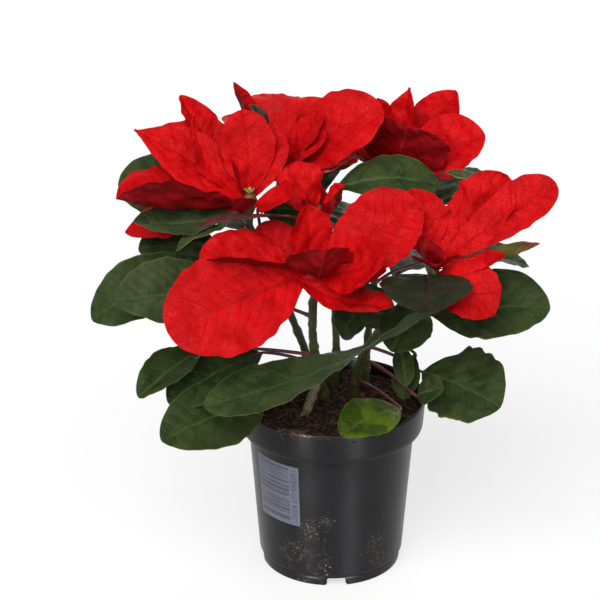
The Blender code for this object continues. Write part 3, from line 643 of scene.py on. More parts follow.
def add_lathe(sheaf, profile, segments, finish, centre=(0, 0, 0), axes=None):
    """A turned shape from a profile of radius and height that starts and ends on its axis."""
    turns = 2 * np.pi * np.arange(segments) / segments
    points = [(0.0, 0.0, profile[0][1])]
    for radius, height in profile[1:-1]:
        points += [(*around(radius, turn), height) for turn in turns]
    points.append((0.0, 0.0, profile[-1][1]))
    points = np.array(points)
    last = len(points) - 1
    faces = []
    for k in range(segments):
        n = (k + 1) % segments
        faces.append((0, 1 + n, 1 + k))
        for ring in range(len(profile) - 3):
            a = 1 + ring * segments
            faces.append((a + k, a + n, a + segments + n, a + segments + k))
        faces.append((last - segments + k, last - segments + n, last))
    if axes is not None:
        points = points @ np.asarray(axes)
    gather(sheaf, points + centre, faces, slot_of(sheaf, finish))


def new_object(sheaf, name):
    """The sheaf as a mesh object in the scene."""
    mesh = bpy.data.meshes.new(name)
    mesh.from_pydata((np.vstack(sheaf.points) * MM).tolist(), [], sheaf.faces)
    for finish in sheaf.finishes:
        mesh.materials.append(FINISHES[finish])
    made = bpy.data.objects.new(name, mesh)
    bpy.context.scene.collection.objects.link(made)
    return made


def finish_piece(sheaf, name, slot, *nodes):
    """The sheaf as one smooth piece that rides on the body and stands for the given nodes."""
    piece = new_object(sheaf, name)
    mesh = piece.data
    corner = np.empty(len(mesh.loops), int)
    mesh.loops.foreach_get("vertex_index", corner)
    for label, values in (("flat", sheaf.flat), ("grain", sheaf.grain), ("place", sheaf.place)):
        layer = mesh.uv_layers.new(name=label)
        layer.uv.foreach_set("vector", np.vstack(values)[corner].astype(np.float32).ravel())
    mesh.polygons.foreach_set("material_index", np.array(sheaf.slots, int))
    mesh.update()
    mesh.shade_smooth()
    mesh.set_sharp_from_angle(angle=math.radians(SHARP_ANGLE))
    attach(piece, "root")
    if nodes:
        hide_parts(*nodes)
    return piece


def bract_start(head, bract):
    """Where a bract leaves the core's side: a steep one further out, to pass clear of the flowers."""
    steep = math.radians(max(bract.rise, 1.0))
    out = np.clip(FLOWER_REACH - ROOT_DROP / math.tan(steep), ROOT_OUT, ROOT_OUT_MOST)
    return np.add(head.place, (*around(out, math.radians(bract.azimuth)), -ROOT_DROP)) + bract.start


class Finish:
    """A material and short ways to add nodes to it."""

    def __init__(self, name, roughness=0.5, **sockets):
        self.made = bpy.data.materials.new(name)
        self.made.use_nodes = True
        self.tree = self.made.node_tree
        self.shader = self.tree.nodes["Principled BSDF"]
        self.shader.inputs["Roughness"].default_value = roughness
        for socket, value in sockets.items():
            self.shader.inputs[socket.replace("_", " ")].default_value = value
        FINISHES[name] = self.made

    def node(self, kind, settings=None, **sockets):
        """A node with its settings, and its sockets set or linked by name or number."""
        made = self.tree.nodes.new("ShaderNode" + kind)
        for name, value in (settings or {}).items():
            setattr(made, name, value)
        for name, value in sockets.items():
            key = int(name[1:]) if name[0] == "n" and name[1:].isdigit() else name.replace("_", " ")
            self.put(made.inputs[key], value)
        return made

    def put(self, socket, value):
        """Sets a socket, or links it to another node's output."""
        if isinstance(value, bpy.types.NodeSocket):
            self.tree.links.new(value, socket)
        else:
            socket.default_value = value

    def math(self, operation, *values):
        """Values put together two by two, or one value changed."""
        out = values[0]
        for value in values[1:] or (0.0,):
            out = self.node("Math", {"operation": operation}, n0=out, n1=value).outputs[0]
        return out

    def times(self, *values):
        """The product of the values."""
        return self.math("MULTIPLY", *values)

    def plus(self, *values):
        """The sum of the values."""
        return self.math("ADD", *values)

    def most(self, *values):
        """The largest of the values."""
        return self.math("MAXIMUM", *values)

    def mix(self, factor, a, b):
        """A blend of two colours."""
        made = self.node("Mix", {"data_type": "RGBA"})
        for socket, value in ((made.inputs[0], factor), (made.inputs[6], a), (made.inputs[7], b)):
            self.put(socket, (*value, 1.0) if isinstance(value, tuple) and len(value) == 3 else value)
        return made.outputs[2]

    def step(self, value, low, high, from_share=0.0, to_share=1.0):
        """A smooth step from one share at low to the other at high."""
        made = self.node("MapRange", {"interpolation_type": "SMOOTHSTEP"}, n0=value, n1=low, n2=high,
                         n3=from_share, n4=to_share)
        return made.outputs[0]

    def fall(self, value, low, high):
        """A smooth step from one at low to nought at high."""
        return self.step(value, low, high, 1.0, 0.0)

    def band(self, value, from_low, from_high, to_low, to_high):
        """One between two steps and nought outside them."""
        return self.times(self.step(value, from_low, from_high), self.fall(value, to_low, to_high))

    def uv(self, name):
        """A UV map. On a blade, flat is in centimetres, grain counts veins and place is in shares."""
        return self.node("UVMap", {"uv_map": name}).outputs[0]

    def two(self, vector):
        """The first and second parts of a vector."""
        made = self.node("SeparateXYZ", n0=vector)
        return made.outputs[0], made.outputs[1]

    def place(self):
        """The place on the piece, in metres."""
        return self.node("TexCoord").outputs["Object"]

    def noise(self, scale, detail=3.0, where=None, rough=0.55):
        made = self.node("TexNoise", Vector=where or self.place(), Scale=scale, Detail=detail,
                         Roughness=rough)
        return made.outputs[0]

    def spots(self, scale, low, high, detail=3.0, where=None):
        """Soft spots of noise: nought up to the low level and one from the high level."""
        return self.step(self.noise(scale, detail, where), low, high)

    def net(self, scale, where=None):
        """The distance to the nearest edge of a net of cells."""
        made = self.node("TexVoronoi", {"feature": "DISTANCE_TO_EDGE"}, Vector=where or self.place(),
                         Scale=scale)
        return made.outputs[0]

    def colour(self, value):
        self.put(self.shader.inputs["Base Color"], value)

    def roughness(self, value):
        self.put(self.shader.inputs["Roughness"], value)

    def bump(self, height, distance):
        """A relief of the given depth in millimetres."""
        made = self.node("Bump", Height=height, Distance=distance * MM, Strength=1.0)
        self.put(self.shader.inputs["Normal"], made.outputs[0])


def veined(name, deep, light, vein, rib, edge=None, blotch=None, veins=0.5, net=0.3, raised=False,
           roughness=0.5, rim=0.955):
    """A leaf or bract face: two tones, side veins, a midrib, a fine net between them and an edge."""
    f = Finish(name, Specular_IOR_Level=BLADE_SPECULAR)
    count, across = f.two(f.uv("grain"))
    along, out = f.two(f.uv("place"))
    flat = f.uv("flat")
    away = f.math("ABSOLUTE", across)
    gap = f.times(f.math("PINGPONG", count, 0.5), VEIN_SPACING)
    broken = f.spots(1.1, 0.3, 0.62, 3.0, flat)
    side = f.times(f.fall(gap, 0.08, 0.72), f.step(out, 0.35, 1.0, 1.0, 0.25), broken)
    small = f.fall(f.net(4.2, flat), 0.0, 0.11)
    large = f.fall(f.net(2.1, flat), 0.0, 0.05)
    lines = f.most(small, large)
    spine = f.fall(away, 0.03, 0.14)
    base = f.mix(f.spots(0.55, 0.36, 0.64, 3.0, flat), deep, light)
    if blotch:
        colour, amount, scale = blotch
        patch = f.spots(scale, 1.0 - amount - 0.06, 1.0 - amount + 0.06, 4.0, flat)
        base = f.mix(patch, base, colour)
    base = f.mix(f.times(lines, net), base, vein)
    base = f.mix(f.times(side, veins), base, vein)
    base = f.mix(f.times(spine, f.step(along, 0.45, 1.0, 0.75, 0.15)), base, rib)
    if edge:
        base = f.mix(f.times(f.step(out, rim, 0.995), 0.8), base, edge)
    f.colour(base)
    fine = f.noise(9.0, 4.0, flat)
    f.roughness(f.step(fine, 0.3, 0.7, roughness - 0.07, roughness + 0.1))
    way = 1.0 if raised else -1.0
    f.bump(f.plus(f.times(lines, 0.6 * way), f.times(side, 0.9 * way), f.times(fine, 0.7)), VEIN_RELIEF)


def make_bract_finishes():
    """The red bracts, and the one that is half green."""
    vein = (0.30, 0.0005, 0.002)
    veined("bract_upper", (0.515, 0.0013, 0.003), (0.685, 0.004, 0.006), vein, (0.42, 0.002, 0.004),
           veins=0.52, net=0.20, roughness=0.50)
    # Painted shade: the underside red is partly its own duller tone and partly darkened further to stand
    # for the shade that undersides lie in.
    veined("bract_under", (0.23, 0.001, 0.003), (0.32, 0.002, 0.005), (0.17, 0.001, 0.004),
           (0.42, 0.02, 0.02), veins=0.4, net=0.15, raised=True, roughness=0.6)
    green = ((0.10, 0.13, 0.02), 0.52, 0.35)
    veined("half_upper", (0.62, 0.008, 0.012), (0.72, 0.02, 0.02), vein, (0.4, 0.05, 0.02), blotch=green)
    veined("half_under", (0.62, 0.02, 0.03), (0.70, 0.05, 0.06), (0.45, 0.02, 0.03), (0.30, 0.20, 0.06),
           blotch=((0.20, 0.22, 0.04), 0.52, 0.35), raised=True)


def make_leaf_finishes():
    """The leaves, by their kind: green, dusty grey, near-black as painted shade, purple, bright and
    yellow edged.
    """
    pale = (0.085, 0.13, 0.045)
    edge = (0.14, 0.15, 0.035)
    veined("leaf_upper", (0.020, 0.038, 0.009), (0.042, 0.064, 0.016), pale, (0.09, 0.13, 0.045),
           edge, veins=0.42, net=0.14, roughness=0.38)
    veined("leaf_under", (0.060, 0.092, 0.046), (0.085, 0.125, 0.062), (0.12, 0.16, 0.08),
           (0.15, 0.17, 0.09), veins=0.5, net=0.3, raised=True, roughness=0.55)
    veined("grey_upper", (0.038, 0.056, 0.021), (0.064, 0.085, 0.034), pale, (0.11, 0.14, 0.07),
           edge, veins=0.35, net=0.13, roughness=0.42)
    # Painted shade: a near-black leaf face with a faint red tinge, for blades that stand where the
    # foliage lies in shade.
    veined("dusky_shade_upper", (0.012, 0.019, 0.009), (0.022, 0.030, 0.013), (0.06, 0.016, 0.014),
           (0.05, 0.004, 0.010), (0.10, 0.010, 0.015), blotch=((0.034, 0.012, 0.010), 0.40, 0.30),
           veins=0.3, net=0.12, roughness=0.42)
    veined("purple_upper", (0.095, 0.014, 0.024), (0.15, 0.020, 0.034), (0.20, 0.05, 0.05),
           (0.22, 0.05, 0.05), (0.20, 0.06, 0.06), blotch=((0.05, 0.06, 0.03), 0.42, 0.45),
           roughness=0.4)
    veined("purple_under", (0.13, 0.022, 0.036), (0.18, 0.035, 0.05), (0.22, 0.06, 0.06),
           (0.24, 0.07, 0.07), raised=True)
    veined("bright_upper", (0.030, 0.060, 0.004), (0.055, 0.095, 0.005), (0.09, 0.15, 0.012),
           (0.12, 0.19, 0.02), (0.14, 0.18, 0.012), blotch=((0.105, 0.165, 0.006), 0.47, 0.55),
           veins=0.35, net=0.25, roughness=0.36)
    veined("edged_upper", (0.030, 0.055, 0.018), (0.05, 0.08, 0.025), (0.11, 0.14, 0.035),
           (0.13, 0.16, 0.05), (0.40, 0.37, 0.08), blotch=((0.10, 0.03, 0.02), 0.40, 0.6),
           rim=0.86, roughness=0.42)
    veined("edged_under", (0.08, 0.10, 0.04), (0.11, 0.13, 0.05), (0.16, 0.17, 0.06),
           (0.2, 0.2, 0.08), (0.36, 0.33, 0.08), raised=True)


def mottled(name, spots, steps, dark, light, grain, depth, **settings):
    """A plain finish of two tones with a fine relief. Spots and grain are a scale and a detail."""
    f = Finish(name, **settings)
    f.colour(f.mix(f.spots(spots[0], *steps, spots[1]), dark, light))
    f.bump(f.noise(*grain), depth)


def make_stem_finishes():
    """The woody stems, the red leaf stalks, the dry stub and the core of a head."""
    f = Finish("stem", roughness=0.55)
    streak = f.node("Mapping", n0=f.place(), n3=(1.0, 1.0, 0.12)).outputs[0]
    grain = f.noise(900.0, 4.0, streak)
    scars = f.spots(260.0, 0.56, 0.64)
    base = f.mix(f.spots(60.0, 0.4, 0.6), (0.050, 0.062, 0.012), (0.100, 0.100, 0.024))
    base = f.mix(f.times(f.step(grain, 0.35, 0.7), 0.45), base, (0.035, 0.030, 0.012))
    f.colour(f.mix(f.times(scars, 0.4), base, (0.17, 0.13, 0.06)))
    f.bump(f.plus(grain, scars), 0.3)

    f = Finish("stalk", roughness=0.42)
    base = f.mix(f.spots(70.0, 0.4, 0.62, 2.0), (0.085, 0.008, 0.014), (0.16, 0.030, 0.020))
    f.colour(f.mix(f.spots(500.0, 0.55, 0.75), base, (0.12, 0.07, 0.03)))
    f.bump(f.noise(900.0, 3.0), 0.12)

    f = Finish("dry_stub", roughness=0.75)
    base = f.mix(f.spots(150.0, 0.4, 0.6, 4.0), (0.16, 0.14, 0.065), (0.30, 0.24, 0.13))
    f.colour(f.mix(f.spots(420.0, 0.58, 0.66, 4.0), base, (0.06, 0.04, 0.02)))
    f.bump(f.noise(700.0, 5.0), 0.5)

    mottled("core", (180.0, 3.0), (0.42, 0.6), (0.07, 0.09, 0.02), (0.20, 0.05, 0.02), (700.0, 3.0), 0.2)


def make_flower_finishes():
    """The flowers' green cups, yellow glands and red threads."""
    f = Finish("flower_green", roughness=0.45)
    height = f.two(f.uv("flat"))[0]
    base = f.mix(f.spots(700.0, 0.4, 0.62), (0.13, 0.19, 0.03), (0.26, 0.30, 0.06))
    f.colour(f.mix(f.step(height, 0.28, 0.42), base, (0.34, 0.30, 0.05)))
    f.bump(f.noise(1500.0, 3.0), 0.12)

    mottled("flower_yellow", (900.0, 3.0), (0.4, 0.6), (0.52, 0.42, 0.04), (0.72, 0.56, 0.08),
            (1600.0, 2.0), 0.08, roughness=0.3, Coat_Weight=0.3)
    mottled("flower_red", (1400.0, 3.0), (0.4, 0.6), (0.42, 0.012, 0.012), (0.62, 0.10, 0.02),
            (2000.0, 3.0), 0.1)


def make_soil_finishes():
    """The peat and the loose crumbs and fibres on it."""
    f = Finish("peat", roughness=0.95)
    grain = f.noise(420.0, 6.0, rough=0.65)
    lumps = f.noise(130.0, 5.0)
    base = f.mix(f.step(lumps, 0.38, 0.62), (0.006, 0.003, 0.002), (0.022, 0.010, 0.005))
    f.colour(f.mix(f.times(f.step(grain, 0.56, 0.72), 0.6), base, (0.060, 0.027, 0.012)))
    f.bump(f.plus(grain, f.times(lumps, 1.5)), 1.2)

    mottled("crumb", (330.0, 3.0), (0.42, 0.6), (0.018, 0.008, 0.004), (0.095, 0.042, 0.019),
            (1500.0, 4.0), 0.3, roughness=0.9)
    mottled("fibre", (120.0, 3.0), (0.4, 0.62), (0.045, 0.017, 0.008), (0.26, 0.125, 0.056),
            (2500.0, 2.0), 0.05, roughness=0.75)


def dirt_patch(f, x, z, spot):
    """How much dirt lies round a spot of the pot's front, by its middle, half width and half height."""
    across, up, wide, high = spot
    dx = f.times(f.plus(x, -across * MM), 1.0 / (wide * MM))
    dz = f.times(f.plus(z, -up * MM), 1.0 / (high * MM))
    return f.fall(f.plus(f.times(dx, dx), f.times(dz, dz)), 0.1, 2.6)


def dirt_ring(f, x, z):
    """The thin dried ring of dirt at the lower left of the front."""
    across, up, radius = DIRT_RING
    dx = f.plus(x, -across * MM)
    dz = f.plus(z, -up * MM)
    away = f.math("SQRT", f.plus(f.times(dx, dx), f.times(dz, dz)))
    return f.fall(f.math("ABSOLUTE", f.plus(away, -radius * MM)), 0.2 * MM, 1.9 * MM)


def make_pot_finish():
    """Black moulded plastic, polished up and down, with dried dirt thrown over its lower front."""
    f = Finish("pot_plastic", roughness=0.34, Specular_IOR_Level=0.17, Anisotropic=0.75,
               Anisotropic_Rotation=0.25)
    upright = f.node("Tangent", {"direction_type": "RADIAL", "axis": "Z"})
    f.put(f.shader.inputs["Tangent"], upright.outputs[0])
    place = f.place()
    x, y, z = f.node("SeparateXYZ", n0=place).outputs
    front = f.step(y, -0.02, -0.035)
    patch = f.most(*[dirt_patch(f, x, z, spot) for spot in DIRT_SPOTS])
    patch = f.times(patch, front, f.spots(75.0, 0.30, 0.55, 3.0, place))
    ring = f.times(dirt_ring(f, x, z), front)
    keep = f.times(f.most(patch, ring), 0.16)
    coarse = f.step(f.plus(f.noise(850.0, 1.0, place), keep), 0.79, 0.82)
    fine = f.step(f.plus(f.noise(2100.0, 1.0, place), keep), 0.79, 0.83)
    specks = f.most(coarse, fine)
    film = f.most(f.times(patch, 0.45), f.times(ring, 0.8))
    smear = f.times(f.spots(190.0, 0.48, 0.70, 6.0, place), film)
    pick = f.spots(480.0, 0.48, 0.56, 2.0, place)
    tint = f.mix(pick, (0.15, 0.070, 0.038), (0.36, 0.34, 0.32))
    dull = f.noise(28.0, 4.0, place)
    streak = f.node("Mapping", n0=place, n3=(1.0, 1.0, 0.05)).outputs[0]
    drawn = f.noise(420.0, 3.0, streak)
    base = f.mix(f.step(dull, 0.35, 0.65), (0.0075, 0.0070, 0.0085), (0.0115, 0.0108, 0.0130))
    base = f.mix(smear, base, (0.085, 0.066, 0.054))
    f.colour(f.mix(specks, base, tint))
    rough = f.step(dull, 0.3, 0.7, 0.28, 0.35)
    f.roughness(f.plus(rough, f.times(drawn, 0.06), f.times(f.most(specks, smear), 0.4)))
    grain = f.noise(1800.0, 4.0, place)
    f.bump(f.plus(f.times(grain, 0.25), specks), 0.12)


def make_label_finish():
    """A pale print with bars of mixed width that run round the pot, and small marks beside them."""
    f = Finish("label_print", roughness=0.42)
    across, up = f.two(f.uv("flat"))
    row = f.times(up, BARS)
    pick = f.node("TexWhiteNoise", {"noise_dimensions": "1D"}, n1=f.math("FLOOR", row)).outputs[0]
    thick = f.times(f.plus(pick, -0.08), 0.95)
    bars = f.math("LESS_THAN", f.math("FRACT", row), thick)
    print_area = f.band(across, 0.045, 0.055, 0.79, 0.80)
    height = f.band(up, 0.045, 0.05, 0.95, 0.955)
    bars = f.times(bars, print_area, height)
    mark_column = f.math("FLOOR", f.times(across, MARK_COLUMNS))
    mark_row = f.math("FLOOR", f.times(up, MARK_ROWS))
    cell = f.node("CombineXYZ", n0=mark_column, n1=mark_row).outputs[0]
    mark = f.math("GREATER_THAN", f.node("TexWhiteNoise", Vector=cell).outputs[0], 0.52)
    gaps = f.math("GREATER_THAN", f.math("FRACT", f.times(up, MARK_ROWS / 5)), 0.22)
    column = f.band(across, 0.835, 0.84, 0.945, 0.95)
    marks = f.times(mark, gaps, column, height)
    ink = f.most(bars, f.times(marks, 0.75))
    worn = f.step(f.noise(700.0, 4.0), 0.25, 0.6, 0.62, 0.9)
    base = f.mix(f.spots(90.0, 0.4, 0.6), (0.165, 0.185, 0.245), (0.200, 0.222, 0.285))
    f.colour(f.mix(f.times(ink, worn), base, (0.040, 0.038, 0.046)))
    f.roughness(f.step(f.noise(900.0, 3.0), 0.3, 0.7, 0.38, 0.5))
    f.bump(f.noise(1800.0, 3.0), 0.04)


def make_floor_finish():
    """A pale floor that glows a little, so that it stays even."""
    f = Finish("studio_floor", roughness=0.8, Specular_IOR_Level=0.05, Emission_Strength=0.66)
    f.shader.inputs["Emission Color"].default_value = (1.0, 1.0, 1.0, 1.0)
    f.colour(f.mix(f.noise(3.0, 2.0), (0.34, 0.34, 0.34), (0.36, 0.36, 0.36)))
    f.bump(f.noise(60.0, 2.0), 0.01)


def make_finishes():
    """Every material, before the pieces that use them."""
    make_bract_finishes()
    make_leaf_finishes()
    make_stem_finishes()
    make_flower_finishes()
    make_soil_finishes()
    make_pot_finish()
    make_label_finish()
    make_floor_finish()


def make_head(key, head):
    """The bracts of one head on their core."""
    sheaf = new_sheaf()
    profile = [(0.0, -CORE_HEIGHT), (CORE_RADIUS, -CORE_HEIGHT), (CORE_RADIUS + 1.3, -CORE_HEIGHT + 3.0),
               (CORE_BELLY, -ROOT_DROP - 1.0), (CORE_BELLY, -ROOT_DROP + 1.0),
               (CORE_RADIUS + 1.4, -2.2), (CORE_RADIUS, -0.4), (0.0, 0.0)]
    add_lathe(sheaf, profile, 24, "core", head.place)
    for k, bract in enumerate(head.bracts):
        draw = np.random.default_rng([SEED, ord(key), k])
        add_blade(sheaf, bract, bract_start(head, bract), draw)
    finish_piece(sheaf, "bracts_fine_" + key, "bracts", "bracts_" + key)


def make_cyathium(sheaf, foot, lean, size, draw):
    """One small true flower: a green cup, a yellow gland on its side and red threads at its mouth."""
    way = unit(np.array([*around(lean[1], lean[0]), 1.0]))
    side = unit(np.cross(way, (0.2, 0.9, 0.1)))
    axes = np.array([side, np.cross(way, side), way])
    shape = [(0.0, 0.0), (0.42, 0.02), (0.72, 0.22), (0.95, 0.5), (1.0, 0.9), (0.92, 1.4), (0.62, 1.8),
             (0.40, 1.92), (0.34, 1.8), (0.0, 1.6)]
    add_lathe(sheaf, [(r * size, h * size) for r, h in shape], 16, "flower_green", foot, axes)
    turn = draw.uniform(0, 2 * np.pi)
    out = math.cos(turn) * axes[0] + math.sin(turn) * axes[1]
    gland = np.asarray(foot) + way * 1.5 * size + out * 0.75 * size
    bead = [(0.0, 0.0), (0.42, 0.08), (0.52, 0.26), (0.42, 0.44), (0.24, 0.40), (0.0, 0.30)]
    turned = np.array([np.cross(out, way), way, out])
    add_lathe(sheaf, [(r * size, h * size) for r, h in bead], 12, "flower_yellow", gland, turned)
    mouth = np.asarray(foot) + way * 1.75 * size
    for _ in range(7):
        spread = draw.normal(0, 0.22, 3) * size
        end = mouth + way * draw.uniform(0.5, 0.9) * size + spread
        path = [mouth + 0.3 * spread, 0.5 * (mouth + end) + 0.3 * spread, end]
        add_tube(sheaf, path, [0.09 * size, 0.08 * size, 0.12 * size], 5, "flower_red")


def make_flower_group(key, head):
    """The true flowers in the middle of a head, close together on their shared base."""
    sheaf = new_sheaf()
    draw = np.random.default_rng([SEED, ord(key), 99])
    x, y, z = head.place
    low = z + SEAT_GAP
    add_lathe(sheaf, [(0.0, 0.0), (2.1, 0.0), (2.3, 0.8), (1.7, 1.5), (0.0, 1.7)], 20, "flower_green",
              (x, y, low))
    make_cyathium(sheaf, (x, y, low + 0.9), (0.4, 0.05), 1.32, draw)
    for k in range(5):
        turn = 2 * np.pi * (k + 0.3) / 5
        foot = np.add((x, y, low), (*around(1.75, turn), 0.45 + 0.25 * (k % 2)))
        make_cyathium(sheaf, foot, (turn, 0.32), draw.uniform(0.92, 1.18), draw)
    finish_piece(sheaf, "flowers_fine_" + key, "flowers", "flowers_" + key)


def at_height(path, height):
    """The point of a rising path at a height."""
    return np.array([np.interp(height, path[:, 2], path[:, k]) for k in range(3)])


def node_swelling(path, draw, size=0.20, spacing=24.0):
    """How much thicker a stem is at each point: rings where leaves stood, and a little unevenness."""
    length = np.concatenate([[0.0], np.cumsum(np.linalg.norm(np.diff(path, axis=0), axis=1))])
    first = draw.uniform(0.3, 1.0) * spacing
    away = np.abs((length - first + spacing / 2) % spacing - spacing / 2)
    swell = size * np.exp(-((away / 2.4) ** 2)) - 0.05 * np.exp(-(((away - 4.5) / 1.6) ** 2))
    turns = 2 * np.pi * np.arange(STEM_SIDES) / STEM_SIDES
    uneven = 0.05 * np.sin(length[:, None] * 0.35 + 2 * turns[None, :])
    uneven += 0.03 * np.sin(length[:, None] * 0.9 + 3 * turns[None, :] + 1.0)
    return swell[:, None] + uneven


def add_stem(sheaf, stem, key):
    """The stem and its branches, with paths and radii like those of the solids but smoother."""
    draw = np.random.default_rng([SEED, ord(key), 7])
    x, y = stem.hole
    foot = SOIL_HEIGHT - HOLE_DEPTH + 2 * SOIL_GAP
    seat = np.add(HEADS[stem.head].place, (0, 0, -CORE_HEIGHT - SEAT_GAP))
    below = np.add(seat, (0, 0, -NECK))
    rise = smooth_path([(x, y, SOIL_HEIGHT + 2.0), *stem.way, below], 22)
    straight = np.linspace((x, y, foot), (x, y, SOIL_HEIGHT), 8)
    paths = [np.vstack([straight, rise, np.linspace(below, seat, 6)[1:]])]
    radii = [np.interp(paths[0][:, 2], (SOIL_HEIGHT, seat[2] - 20), (stem.radius, STEM_TOP_RADIUS))]
    for way, branch_head in stem.branches:
        end = np.add(HEADS[branch_head].place, (0, 0, -CORE_HEIGHT - SEAT_GAP))
        curve = smooth_path([*way, np.add(end, (0, 0, -NECK))], 14)
        paths.append(np.vstack([curve, np.linspace(curve[-1], end, 5)[1:]]))
        radii.append(np.full(len(paths[-1]), STEM_TOP_RADIUS))
    for path, radius in zip(paths, radii):
        add_tube(sheaf, path, radius, STEM_SIDES, "stem", node_swelling(path, draw))
    for stub in stem.stubs:
        add_dry_stub(sheaf, stub, draw)
    return paths


def add_dry_stub(sheaf, stub, draw):
    """The pinched-off end of an old stem: a dry, ribbed piece with papery scars standing off it."""
    path = smooth_path(stub, 16)
    radius = np.interp(np.linspace(0, 1, len(path)), (0, 0.5, 1), STUB_RADII)
    lumps = node_swelling(path, draw, 0.30, 8.0) * 1.3
    add_tube(sheaf, path, radius * 0.92, STEM_SIDES, "dry_stub", lumps)
    for k, share in enumerate(SCAR_SHARES):
        add_scar(sheaf, path, radius, share, 2.1 * k + 3.9, draw)


def add_scar(sheaf, path, radius, share, turn, draw):
    """One papery scale that stands off the stub and curls outward at its tip."""
    k = int(share * (len(path) - 1))
    out = np.array([*around(1.0, turn), 0.0])
    along = unit(path[k] - path[k - 1])
    side = unit(np.cross(along, out))
    foot = path[k] + out * radius[k] * 0.6
    points = []
    for t in np.linspace(0, 1, 7):
        half = SCAR_SIZE * (0.42 + 0.25 * math.sin(math.pi * t)) * (1 - 0.6 * t**3)
        middle = foot + along * SCAR_SIZE * t + out * SCAR_SIZE * (0.15 + 0.5 * t**2)
        for x in (-1.0, -0.4, 0.4, 1.0):
            ruck = 0.14 * draw.normal() * t
            points.append(middle + side * half * x - out * (0.35 * half * x**2 - ruck))
    points = np.array(points)
    layers = np.vstack([points + SCAR_THICKNESS * out, points])
    gather(sheaf, layers, np.concatenate(sheet_faces(6, 3)), slot_of(sheaf, "dry_stub"))


def leaf_stalk(sheaf, leaf_form, path):
    """The stalk from the stem to the start of the blade, and a little way along its rib."""
    root = at_height(path, leaf_form.node)
    chord, face, _ = blade_frame(leaf_form)
    start = np.array(leaf_form.start, float)
    inside = start + chord * min(STALK_INSIDE, 0.2 * leaf_form.reach) + face * leaf_form.arch * 0.5
    middle = 0.5 * (root + start) + (0, 0, STALK_RISE)
    curve = smooth_path([root, middle, start, inside], 8)
    share = np.linspace(0, 1, len(curve))
    radius = np.interp(share, (0, 0.08, 0.6, 1), (1.7, 1.15, 0.95, 0.5)) * STALK_RADIUS
    add_tube(sheaf, curve, radius, STALK_SIDES, "stalk")


def make_stems():
    """Each stem with its leaves."""
    for key, stem in STEMS.items():
        sheaf = new_sheaf()
        paths = add_stem(sheaf, stem, key)
        for k, form in enumerate(stem.leaves):
            draw = np.random.default_rng([SEED, ord(key), 40 + k])
            leaf_stalk(sheaf, form, paths[form.branch])
            add_blade(sheaf, form, form.start, draw)
        finish_piece(sheaf, "leafy_stem_fine_" + key, "foliage", "leafy_stem_" + key)


def rounded(corner, before, after, radius, steps=4):
    """Points of a small round in place of a corner of a profile."""
    corner, before, after = (np.array(p, float) for p in (corner, before, after))
    a = corner + (before - corner) * min(0.45, radius / np.linalg.norm(before - corner))
    b = corner + (after - corner) * min(0.45, radius / np.linalg.norm(after - corner))
    shares = np.linspace(0, 1, steps)
    return [tuple((1 - t) ** 2 * a + 2 * t * (1 - t) * corner + t * t * b) for t in shares]


def soften(profile, radius):
    """The profile with every corner off the axis rounded."""
    out = [profile[0]]
    for k in range(1, len(profile) - 1):
        out += rounded(profile[k], profile[k - 1], profile[k + 1], radius)
    return out + [profile[-1]]


def inner_wall():
    """The inside of the pot from its floor to its lip, as radius and height."""
    return [
        (CENTRE_PAD_RADIUS - PAD_SLOPE / 2, WALL),
        (CENTRE_PAD_RADIUS + PAD_SLOPE / 2, FLOOR_HEIGHT),
        (BODY_FOOT_RADIUS - WALL, FLOOR_HEIGHT),
        (BODY_TOP_RADIUS - WALL, BAND_HEIGHT),
        (RIM_RADIUS - WALL - RIM_DRAFT, BAND_HEIGHT + RIM_SHOULDER + WALL),
        (RIM_RADIUS - WALL, POT_HEIGHT - LIP),
    ]


def make_pot():
    """The pot, turned in one piece, with rounded notches and drain holes cut out."""
    outer = [
        (0.0, 0.0),
        (CENTRE_PAD_RADIUS, 0.0),
        (CENTRE_PAD_RADIUS + PAD_SLOPE, FLOOR_HEIGHT - FLOOR_THICKNESS),
        (FOOT_RADIUS - WALL - FOOT_SLOPE, FLOOR_HEIGHT - FLOOR_THICKNESS),
        (FOOT_RADIUS - WALL, 0.0),
        (FOOT_RADIUS, 0.0),
        *[(FOOT_RADIUS + out, height) for out, height in FOOT_LINE],
        (FOOT_RADIUS + FOOT_STEP / 2, FOOT_HEIGHT),
        (BODY_FOOT_RADIUS, FOOT_HEIGHT + FOOT_STEP),
        (BODY_TOP_RADIUS, BAND_HEIGHT - BAND_STEP),
        (RIM_RADIUS - RIM_DRAFT - BAND_STEP, BAND_HEIGHT + BAND_STEP),
        (RIM_RADIUS - RIM_DRAFT, BAND_HEIGHT + RIM_SHOULDER),
        (RIM_RADIUS, POT_HEIGHT - LIP),
        (RIM_RADIUS - WALL / 2, POT_HEIGHT),
    ]
    profile = soften(outer + inner_wall()[::-1] + [(0.0, WALL)], POT_ROUND)
    sheaf = new_sheaf()
    add_lathe(sheaf, profile, POT_SEGMENTS, "pot_plastic")
    piece = finish_piece(sheaf, "pot_fine", "pot", "pot")
    for k in range(NOTCHES):
        cut(piece, notch_cutter(NOTCH_AZIMUTH + 360.0 * k / NOTCHES))
    for k in range(DRAIN_HOLES):
        cut(piece, drain_cutter(2 * np.pi * (k + 0.5) / DRAIN_HOLES))


def drain_cutter(turn):
    """A round plug that reaches through the pot's floor."""
    ring = 0.5 * (CENTRE_PAD_RADIUS + FOOT_RADIUS)
    deep = FLOOR_THICKNESS + 2 * CUT_PAST
    place = (*around(ring, turn), FLOOR_HEIGHT - FLOOR_THICKNESS - CUT_PAST)
    sheaf = new_sheaf()
    profile = [(0.0, 0.0), (DRAIN_RADIUS, 0.0), (DRAIN_RADIUS, deep), (0.0, deep)]
    add_lathe(sheaf, profile, DRAIN_SEGMENTS, "pot_plastic", place)
    return sheaf


